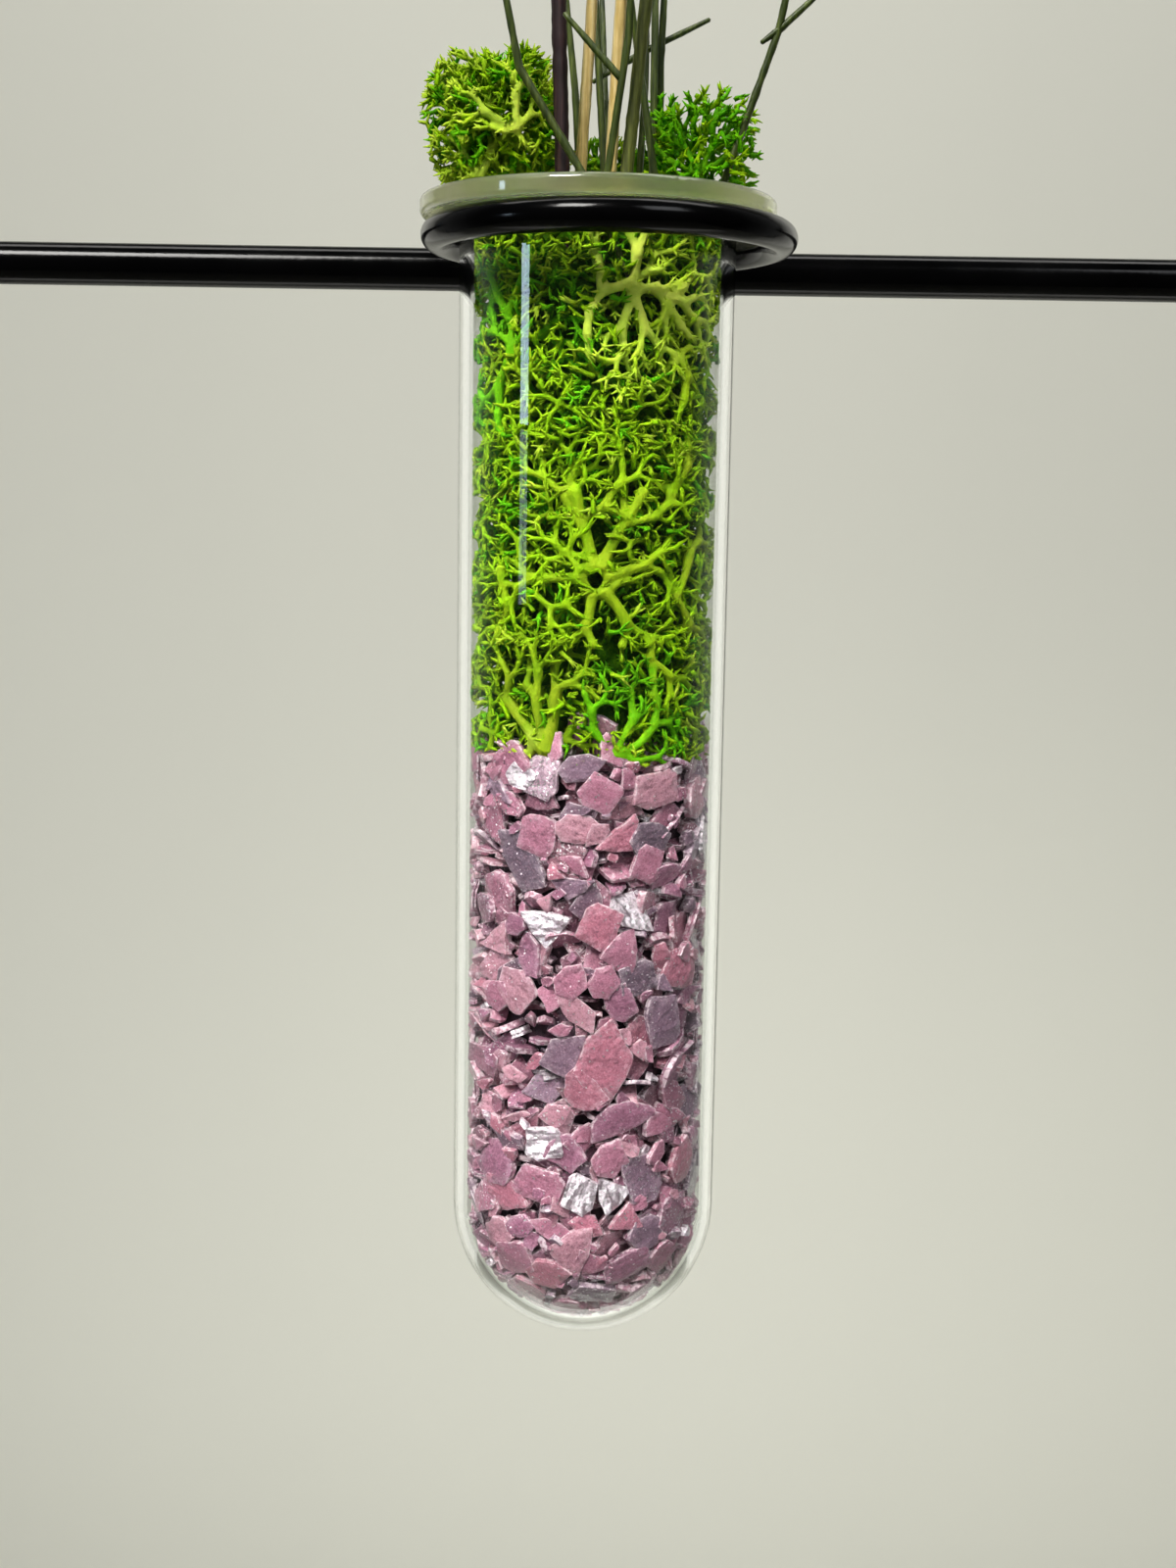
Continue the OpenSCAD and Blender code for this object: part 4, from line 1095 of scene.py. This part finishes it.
def flake(rng, length, width, thick, bend, layered, kind=None):
    """An irregular flat flake about the origin, its face along Z. Returns points, faces, how near each is to the rim,
    and the count of points round its outline."""
    outline = flake_outline(rng, length, width, kind)
    m = len(outline)
    half = thick / 2
    shelf = rng.uniform(-0.5, 0.5) if layered else 0.1
    dent = 0.92 if layered else 0.995
    # Its rings, from the face down over the rim to the back: how far out and how high
    shares = np.array([0.55, 0.94, 0.985, 1.0, dent, 0.99, 0.975, 0.92])
    heights = half * np.array([1.0, 0.99, 0.86, shelf + 0.28, shelf, shelf - 0.28, -0.88, -1.0])
    rings = outline[None] * shares[:, None, None]
    heights = np.broadcast_to(heights[:, None, None], (len(shares), m, 1))
    points = np.concatenate([rings, heights], 2).reshape(-1, 3)
    points = np.concatenate([points, [[0, 0, half * 1.02], [0, 0, -half]]])
    rim = np.concatenate([np.repeat(np.clip(1 - np.abs(shares - 0.98) / 0.05, 0, 1), m), [0, 0]])
    lump = rng.normal(0, 1, (4, 2)) / width * 2.4
    shift = rng.uniform(0, 2 * math.pi, 4)
    wave = np.sin(points[:, :2] @ lump.T + shift).sum(1)
    points[:, 2] += 0.05 * thick * wave + bend * ((points[:, 0] / length) ** 2 * 4 - 0.5) * thick
    # The rings go down here, so the faces are turned round
    walls, caps = ring_faces(len(shares), m)
    return points, [walls[:, [0, 3, 2, 1]], caps[:, [0, 2, 1]]], rim, m


class Chart:
    """What of the bed's outer face is covered, in unrolled cells and layers of depth."""

    def __init__(self):
        self.wide = int(round(2 * math.pi * FILL_R / CHART_CELL))
        self.low = DOME_Z - FILL_R * math.pi / 2
        self.tall = int((BED_Z + 4 - self.low) / CHART_CELL) + 2
        self.cells = np.zeros((CHART_LAYERS, self.tall, self.wide), bool)

    def cover(self, ring):
        """Cells inside a ring of 3-D points, as (rows, columns), or None."""
        turn = np.unwrap(np.arctan2(ring[:, 1], ring[:, 0]))
        across = np.hypot(ring[:, 0], ring[:, 1])
        drop = ring[:, 2].copy()
        under = drop < DOME_Z
        drop[under] = DOME_Z - FILL_R * np.arctan2(DOME_Z - drop[under], across[under])
        flat = np.stack([turn / (2 * math.pi) * self.wide, (drop - self.low) / CHART_CELL], 1)
        low, high = np.floor(flat.min(0)).astype(int), np.ceil(flat.max(0)).astype(int)
        if high[0] - low[0] > self.wide:
            return None
        u, v = np.meshgrid(np.arange(low[0], high[0] + 1), np.arange(low[1], high[1] + 1))
        ahead = np.roll(flat, -1, 0) - flat
        centre = flat.mean(0) - flat
        home = ahead[:, 0] * centre[:, 1] - ahead[:, 1] * centre[:, 0]
        (ahead_u, ahead_v), (at_u, at_v) = ahead.T[..., None, None], flat.T[..., None, None]
        side = ahead_u * (v - at_v) - ahead_v * (u - at_u)
        inside = (side * home[:, None, None] >= 0).all(0)
        rows, cols = v[inside], u[inside] % self.wide
        keep = (rows >= 0) & (rows < self.tall)
        return (rows[keep], cols[keep]) if keep.any() else None


def flake_pose(turn, height, spin, tilt, lean, points):
    """Flake points set against the glass: spin in its own plane, tilt out of the glass's face, lean of that tilt.
    Returns them with the flake's normal and the way out."""
    flat = np.array([math.cos(turn), math.sin(turn), 0])
    rise = np.array([0, 0, 1.0])
    arc = max(0, DOME_Z - height) / FILL_R
    out = flat * math.cos(arc) - rise * math.sin(arc)
    up = flat * math.sin(arc) + rise * math.cos(arc)
    home = np.array([0, 0, max(height, DOME_Z)])
    across = np.cross(up, out)
    normal = turned(out, across * math.cos(lean) + up * math.sin(lean), tilt)
    first = unit(np.cross(up if abs(normal @ up) < 0.9 else across, normal))
    first = turned(first, normal, spin)
    second = np.cross(normal, first)
    placed = points[:, :1] * first + points[:, 1:2] * second + points[:, 2:] * normal + home + out * FILL_R
    for _ in range(3):
        far, ways = capsule_out(placed)
        worst = far.argmax()
        placed = placed - out * max(0, far[worst] - FILL_R) / max(0.3, ways[worst] @ out)
    return placed, normal, out


def band_of(z, bands):
    """The chips node whose band holds that height."""
    return next((node for node, low in bands if z > low), "chips_bottom")


class Bed:
    """The flakes of the bed, packed against the glass."""

    def __init__(self, seed):
        self.rng = np.random.default_rng(seed)
        self.chart = Chart()
        self.skins = {node: Skin() for node in CHIP_NODES}
        names = ("chips_upper", "chips_middle", "chips_lower")
        self.bands = [(node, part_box(node)[0].z / MM - LIP_Z + 0.3) for node in names]

    def lay(self, turn, height, length, width, thick, spin, tilt, lean, tint, shine, bend=0.0, kind=None):
        """Lays a flake in the first layer behind the glass where it is clear of the others."""
        rng = self.rng
        points, faces, rim, m = flake(rng, length, width, thick, bend, rng.random() < 0.5, kind)
        placed, normal, out = flake_pose(turn, height, spin, tilt, lean, points)
        steep = abs(normal @ out) < 0.6
        ring = hull_ring(placed, turn) if steep else placed[3 * m : 4 * m]
        cells = self.chart.cover(ring)
        if cells is None:
            return
        rows, cols = cells
        for layer in range(CHART_LAYERS - 1):
            reach = CHART_LAYERS if steep else layer + 1
            crowded = self.chart.cells[layer:reach, rows, cols].any(0).mean()
            if crowded > (CROWDED_FRONT if kind else CROWDED):
                continue
            if layer and self.chart.cells[:layer, rows, cols].any(0).mean() > 0.8:
                return
            self.chart.cells[layer:reach, rows, cols] = True
            placed = placed - out * layer * LAYER_STEP
            # Painted shade: the deeper the layer, the darker the flake's colour
            shaded = np.array(tint) * LAYER_SHADE**layer
            self.add(band_of(placed[:, 2].mean(), self.bands), placed, faces, points, rim, shaded, shine)
            return

    def add(self, node, placed, faces, points, rim, tint, shine):
        grain = points + self.rng.uniform(-40, 40, 3)
        self.skins[node].add(placed, faces, tint=tint, grain=grain, rim=rim, shine=shine)

    def tint(self):
        rng = self.rng
        if rng.random() < 0.05:
            return SILVER, 0.9
        return FLAKE_TINTS[rng.integers(len(FLAKE_TINTS))] * rng.uniform(0.8, 1.15), rng.uniform(0, 0.35)

    def front(self):
        """The flakes that stand out in the photograph."""
        for x, z, length, width, spin, kind, tint, shine in FRONT_FLAKES:
            arc = max(0, DOME_Z - z)
            turn = -math.pi / 2 + math.asin(x / math.sqrt(FILL_R**2 - min(arc, FILL_R - 1) ** 2))
            height = z if z > DOME_Z else DOME_Z - FILL_R * math.asin(min(arc / FILL_R, 1))
            self.lay(turn, height, length, width, 0.7, math.radians(spin), 0.05, 0, tint, shine, 0.0, kind)

    def scatter(self, count, least, mean, flat):
        """Flakes that lie by chance: mean is how much over least they are long, flat the share with faces to the
        glass."""
        rng = self.rng
        for _ in range(count):
            spin, turn = rng.uniform(0, 2 * math.pi, 2)
            crest = BED_Z + 0.5 + 1.1 * math.sin(3 * turn + 0.6) + 0.5 * math.sin(7 * turn)
            height = rng.uniform(self.chart.low + 0.5, crest)
            if height < DOME_Z and rng.random() > math.cos((DOME_Z - height) / FILL_R):
                continue
            length = min(rng.gamma(5, mean / 5) + least, LONGEST)
            face_on = rng.random() < flat
            tilt = rng.normal(0, 0.3) if face_on else math.pi / 2 + rng.normal(0, 0.3)
            lean = rng.uniform(0, 2 * math.pi) if face_on else rng.normal(0, 0.4)
            tint, shine = self.tint()
            width = length / rng.uniform(1.0, 1.9)
            thick, bend = rng.uniform(0.45, 0.95), rng.uniform(-0.5, 0.5)
            self.lay(turn, height, length, width, thick, spin, tilt, lean, tint, shine, bend)

    def top(self, count):
        """Flakes that lie on the bed, under the moss."""
        rng = self.rng
        for _ in range(count):
            far, turn = TOP_R * math.sqrt(rng.random()), rng.uniform(0, 2 * math.pi)
            points, faces, rim, _ = flake(rng, rng.uniform(2.5, 5), rng.uniform(2, 3.4), 0.8, 0.2, True)
            spun = Matrix.Rotation(rng.uniform(0, 2 * math.pi), 3, "Z") @ Matrix.Rotation(rng.normal(0, 0.25), 3, "X")
            height = BED_Z - 0.8 + rng.uniform(-0.6, 0.3)
            placed = points @ np.array(spun).T + (far * math.cos(turn), far * math.sin(turn), height)
            reach, ways = capsule_out(placed)
            worst = reach.argmax()
            placed = placed - ways[worst] * max(0, reach[worst] - FILL_R)
            self.add("chips_top", placed, faces, points, rim, *self.tint())


def hull_ring(placed, turn):
    """Outline of an edge-on flake as seen through the glass: the hull of its points across and up."""
    across = placed[:, 1] * math.cos(turn) - placed[:, 0] * math.sin(turn)
    spots = np.stack([across, placed[:, 2]], 1)
    order = np.lexsort((spots[:, 1], spots[:, 0]))
    spots = spots.tolist()

    def chain(indices):
        out = []
        for i in indices:
            while len(out) > 1:
                a, b, c = spots[out[-2]], spots[out[-1]], spots[i]
                if (b[0] - a[0]) * (c[1] - a[1]) - (b[1] - a[1]) * (c[0] - a[0]) > 0:
                    break
                out.pop()
            out.append(i)
        return out[:-1]

    return placed[chain(order) + chain(order[::-1])]


def make_flakes(material):
    bed = Bed(BED_SEED)
    bed.front()
    for count, least, mean, flat in SCATTER:
        bed.scatter(count, least, mean, flat)
    bed.top(TOP_FLAKES)
    for node, skin in bed.skins.items():
        skin.piece("flakes_" + node.removeprefix("chips_"), "tube", material, "stone", [node], sharp=38)


# ---- Stage ----

# The lamps: place, what they point at, size, power, colour and spread, in metres, watts and degrees. The wings are
# bright panels behind the tube, out of the picture, which its side walls show.
MIDDLE, WING_AIM = (0, -0.035, -0.06), (0, 0, -0.05)
WINDOW_FAR, WINDOW_TURN = 0.8, math.radians(62)
WINDOW_X = AXIS_X * MM - WINDOW_FAR * math.sin(WINDOW_TURN)
WINDOW_Y = AXIS_Y * MM - WINDOW_FAR * math.cos(WINDOW_TURN)
WINDOW_AIM = (AXIS_X * MM, AXIS_Y * MM, 0.08)
WARM, CREAM = (1, 0.98, 0.95), (1, 0.985, 0.92)
LIGHTS = {
    "key": ((-0.3, -0.64, 0.74), MIDDLE, (0.3, 0.3), 1.45, (1, 0.98, 0.94), 60),
    "fill": ((0.6, -0.85, 0.75), MIDDLE, (0.5, 0.5), 0.5, (0.95, 0.97, 1), 60),
    "back_high": ((0, 0.4, 1.7), (0, 1.5, -0.5), (2.2, 0.6), 15.4, WARM, 120),
    "back_low": ((0, 0.4, -1.4), (0, 1.5, 0.3), (2.2, 0.6), 8.6, WARM, 120),
    "wing_left": ((-0.85, 1.1, -0.1), WING_AIM, (0.66, 1.9), 1.9, CREAM, 180),
    "wing_right": ((0.85, 1.1, -0.1), WING_AIM, (0.66, 1.9), 1.9, CREAM, 180),
    "wing_low": ((0, 1.1, -1.1), WING_AIM, (1.0, 0.4), 0.6, CREAM, 180),
    "window": ((WINDOW_X, WINDOW_Y, 0.062), WINDOW_AIM, (0.055, 0.12), 0.25, (0.66, 0.83, 1), 180),
    "window_low": ((WINDOW_X, WINDOW_Y, -0.045), WINDOW_AIM, (0.05, 0.09), 0.05, (0.72, 0.86, 1), 180),
}
# The sky's strength: where the camera sees it, and for all else straight in front and straight behind
SKY_SEEN, SKY_FRONT, SKY_BACK = 0.6, 0.014, 0.45


def make_light(name, at, aim, size, power, colour, spread):
    data = bpy.data.lights.new(name, "AREA")
    data.shape = "RECTANGLE"
    data.size, data.size_y = size
    data.energy = power
    data.color = colour
    data.spread = math.radians(spread)
    light = linked(name, data)
    light.location = at
    light.rotation_euler = (Vector(aim) - Vector(at)).to_track_quat("-Z", "Y").to_euler()


def make_world():
    """A sky that is dim in front, so that the glass stays clear, and bright behind and beside it."""
    world = bpy.data.worlds.new("studio")
    world.use_nodes = True
    tree = Tree(world.node_tree)
    facing = tree.node("SeparateXYZ", "Y", {0: tree.node("TexCoord", "Generated")})
    level = tree.span(facing, -0.05, 1.0, SKY_FRONT, SKY_BACK)
    seen = {"Factor": tree.node("LightPath", "Is Camera Ray"), "A": level, "B": SKY_SEEN}
    sky = world.node_tree.nodes["Background"]
    tree.feed(sky.inputs["Color"], (0.96, 0.97, 0.95))
    tree.feed(sky.inputs["Strength"], tree.node("Mix", "Result", seen))
    bpy.context.scene.world = world


def make_floor():
    """A pale floor that curves up into a wall."""
    low, high, front, back, half, bend = -1.7, 2.4, -1.6, 1.5, 2.2, 0.5
    turns = np.linspace(0.1, math.pi / 2, 14)
    curve = [(back - bend + bend * math.sin(a), low + bend - bend * math.cos(a)) for a in turns]
    line = [(front, low), (back - bend, low), *curve, (back, high)]
    points = [(x, y, z) for y, z in line for x in (-half, half)]
    faces = [(2 * i, 2 * i + 1, 2 * i + 3, 2 * i + 2) for i in range(len(line) - 1)]
    mesh = bpy.data.meshes.new("floor")
    mesh.from_pydata(points, [], faces)
    mesh.shade_smooth()
    finish = Shader("floor_pale", roughness=0.9, specular_ior_level=0.1, base_color=(0.82, 0.83, 0.745))
    mesh.materials.append(finish.material)
    floor = linked("floor", mesh)


# ---- Stems ----

# What the part's source says of the stems, in mm and as shares: the mouth's radius, the spray's height, how deep
# the stems reach, and how high up its own length each has its middle point
BORE_R = 13.8
SPRAY_H = 62.0
STEM_DEPTH = 22.0
STEM_MID = 0.36
FOOT_SHARE, TIP_SHARE = 0.7, 0.45
STEM_SEED = 40
STEM_SIDES = 14
# The stems' finishes: material, slot, dark, middle and pale shade, and roughness
STEM_FINISHES = {
    "bark": ("bark_dark", "dark_stick", (0.008, 0.003, 0.004), (0.022, 0.008, 0.009), (0.06, 0.025, 0.022), 0.6),
    "straw": ("straw_tan", "straw", (0.42, 0.28, 0.07), (0.78, 0.58, 0.22), (0.95, 0.80, 0.42), 0.42),
    "sage": ("stem_sage", "green_stem", (0.05, 0.06, 0.012), (0.12, 0.14, 0.025), (0.24, 0.27, 0.06), 0.55),
    "leaf": ("stem_leaf", "green_stem", (0.02, 0.034, 0.006), (0.05, 0.075, 0.01), (0.13, 0.17, 0.03), 0.45),
}
# Each stem's finish, diameter, depth share, and its foot, mouth, middle and tip (across and towards the wall, as
# shares of the mouth's radius), and its height as a share of the spray's
STEMS = {
    "stick_dark": ("bark", 1.4, 0.9, [(-0.16, -0.42), (-0.27, -0.58), (-0.32, -0.6), (-0.44, -0.72)], 0.96),
    "straw_left": ("straw", 1.25, 1, [(-0.2, -0.3), (-0.15, -0.32), (-0.08, -0.3), (0.02, -0.4)], 0.86),
    "straw_right": ("straw", 1.25, 0.94, [(0.02, -0.04), (0.08, -0.12), (0.15, -0.14), (0.3, -0.1)], 1),
    "green_thick": ("sage", 1.4, 0.8, [(0.1, -0.5), (0.19, -0.66), (0.32, -0.7), (0.55, -0.78)], 0.9),
    "green_forked": ("leaf", 0.8, 0.6, [(0.02, -0.62), (0.05, -0.8), (0.2, -0.86), (0.28, -1.05)], 0.74),
    "green_cross": ("leaf", 0.8, 0.5, [(0.3, 0.2), (0.31, 0.3), (0.36, 0.38), (0.36, 0.6)], 0.7),
    "green_back_left": ("leaf", 0.8, 0.7, [(-0.1, 0.3), (-0.14, 0.36), (-0.2, 0.4), (-0.42, 0.5)], 0.66),
    "green_back_mid": ("leaf", 0.8, 0.86, [(0.1, 0.12), (0.06, 0.22), (-0.02, 0.3), (-0.16, 0.52)], 0.8),
    "green_back_right": ("leaf", 0.8, 0.6, [(0.14, 0.42), (0.16, 0.5), (0.04, 0.56), (-0.04, 0.84)], 0.62),
    "green_pair_left": ("leaf", 0.8, 0.9, [(0.4, 0), (0.42, 0.1), (0.42, 0.16), (0.4, 0.3)], 0.92),
    "green_pair_right": ("leaf", 0.8, 0.74, [(0.46, 0.32), (0.48, 0.32), (0.47, 0.3), (0.56, 0.4)], 0.78),
    "green_low_right": ("leaf", 0.8, 0.5, [(0.54, -0.3), (0.45, -0.3), (0.32, -0.3), (0.04, -0.44)], 0.6),
    "green_far_left": ("leaf", 0.8, 0.36, [(0.26, -0.8), (-0.08, -0.84), (-0.6, -0.86), (-0.96, -1)], 0.6),
    "green_far_right": ("leaf", 0.8, 0.4, [(0.72, -0.14), (0.92, -0.16), (1.36, -0.16), (1.86, -0.3)], 0.88),
}
# Side shoots: the stem that carries each, where it leaves and ends along that stem's height, and how far it goes
# across and towards the wall
SHOOTS = [
    ("green_forked", 0.27, 0.41, -0.43, 0.02),
    ("green_cross", 0.44, 0.52, 0.5, 0.04),
    ("green_cross", 0.44, 0.36, -0.42, -0.02),
    ("green_far_right", 0.36, 0.44, 0.34, 0.04),
    ("green_far_right", 0.36, 0.335, -0.13, -0.02),
]


def stem_knots(name):
    _, _, deep, spots, share = STEMS[name]
    tip_z = SPRAY_H * share
    heights = (-STEM_DEPTH * deep, LIP_T, tip_z * STEM_MID, tip_z)
    return np.array([(x * BORE_R, y * BORE_R, z) for (x, y), z in zip(spots, heights)])


def stem_point(name, z):
    """Point of a stem at a height above the lip."""
    knots = stem_knots(name)
    return np.array([np.interp(z, knots[:, 2], knots[:, i]) for i in (0, 1)] + [z])


def make_stem(index, name, finishes):
    """A stalk with a wavering thickness and long ribs, and its side shoots."""
    finish, thick, _, _, share = STEMS[name]
    rng = np.random.default_rng(STEM_SEED + index)
    skin = Skin()
    lines = [(stem_knots(name), thick / 2 * np.array([FOOT_SHARE, 1, 1, TIP_SHARE]))]
    for owner, leave, rise, x, y in SHOOTS:
        if owner == name:
            tip_z = SPRAY_H * share
            start = stem_point(name, tip_z * leave)
            end = np.array([start[0] + x * BORE_R, start[1] + y * BORE_R, tip_z * rise])
            lines.append((np.array([start, (start + end) / 2, end]), thick / 2 * np.array([0.95, 0.85, 0.62])))
    for knots, radii in lines:
        reach = np.concatenate([[0], np.cumsum(np.linalg.norm(np.diff(knots, axis=0), axis=1))])
        along = np.linspace(0, reach[-1], max(12, int(reach[-1] / 0.8)))
        path = np.stack([np.interp(along, reach, knots[:, i]) for i in range(3)], 1)
        width = np.interp(along, reach, radii) * (1 + rng.normal(0, 0.035, len(along)))
        points, faces, _ = sweep(path[None], width[None], STEM_SIDES)
        ribs = 1 + rng.normal(0, 0.07, STEM_SIDES)
        body = points[:-2].reshape(len(path), STEM_SIDES, 3)
        body = path[:, None] + (body - path[:, None]) * ribs[None, :, None]
        skin.add(np.concatenate([body.reshape(-1, 3), points[-2:]]), faces)
    material, slot = finishes[finish]
    return skin.piece("dress_" + name, "arrangement", material, slot, [name])


def make_stems():
    finishes = {}
    for kind, (name, slot, *colours, rough) in STEM_FINISHES.items():
        finishes[kind] = (stem_finish(name, *colours, rough), slot)
    for index, name in enumerate(STEMS):
        make_stem(index, name, finishes)


make_camera()
make_world()
make_floor()
for name, setup in LIGHTS.items():
    make_light(name, *setup)
bpy.context.scene.view_settings.view_transform = "Standard"

enamel = enamel_finish()
stone = stone_finish()
moss = moss_finish()

nodes = frame["nodes"]
tube_frame = nodes["glass_tube"].matrix_world.inverted()
glass = glass_finish((tube_frame @ Vector((AXIS_X * MM, AXIS_Y * MM, LIP_Z * MM))).z)
for name in ("rail", "tab_left", "tab_right", "ring"):
    nodes[name].data.materials[0] = enamel
nodes["glass_tube"].data.materials[0] = glass
nodes["gravel_core"].data.materials[0] = deep_stone_finish()

make_flakes(stone)
for index, node in enumerate(WADS):
    make_wad(index, node, moss)
for index, node in enumerate(TUFTS):
    make_tuft(index, node, moss)
make_core(moss)
make_stems()
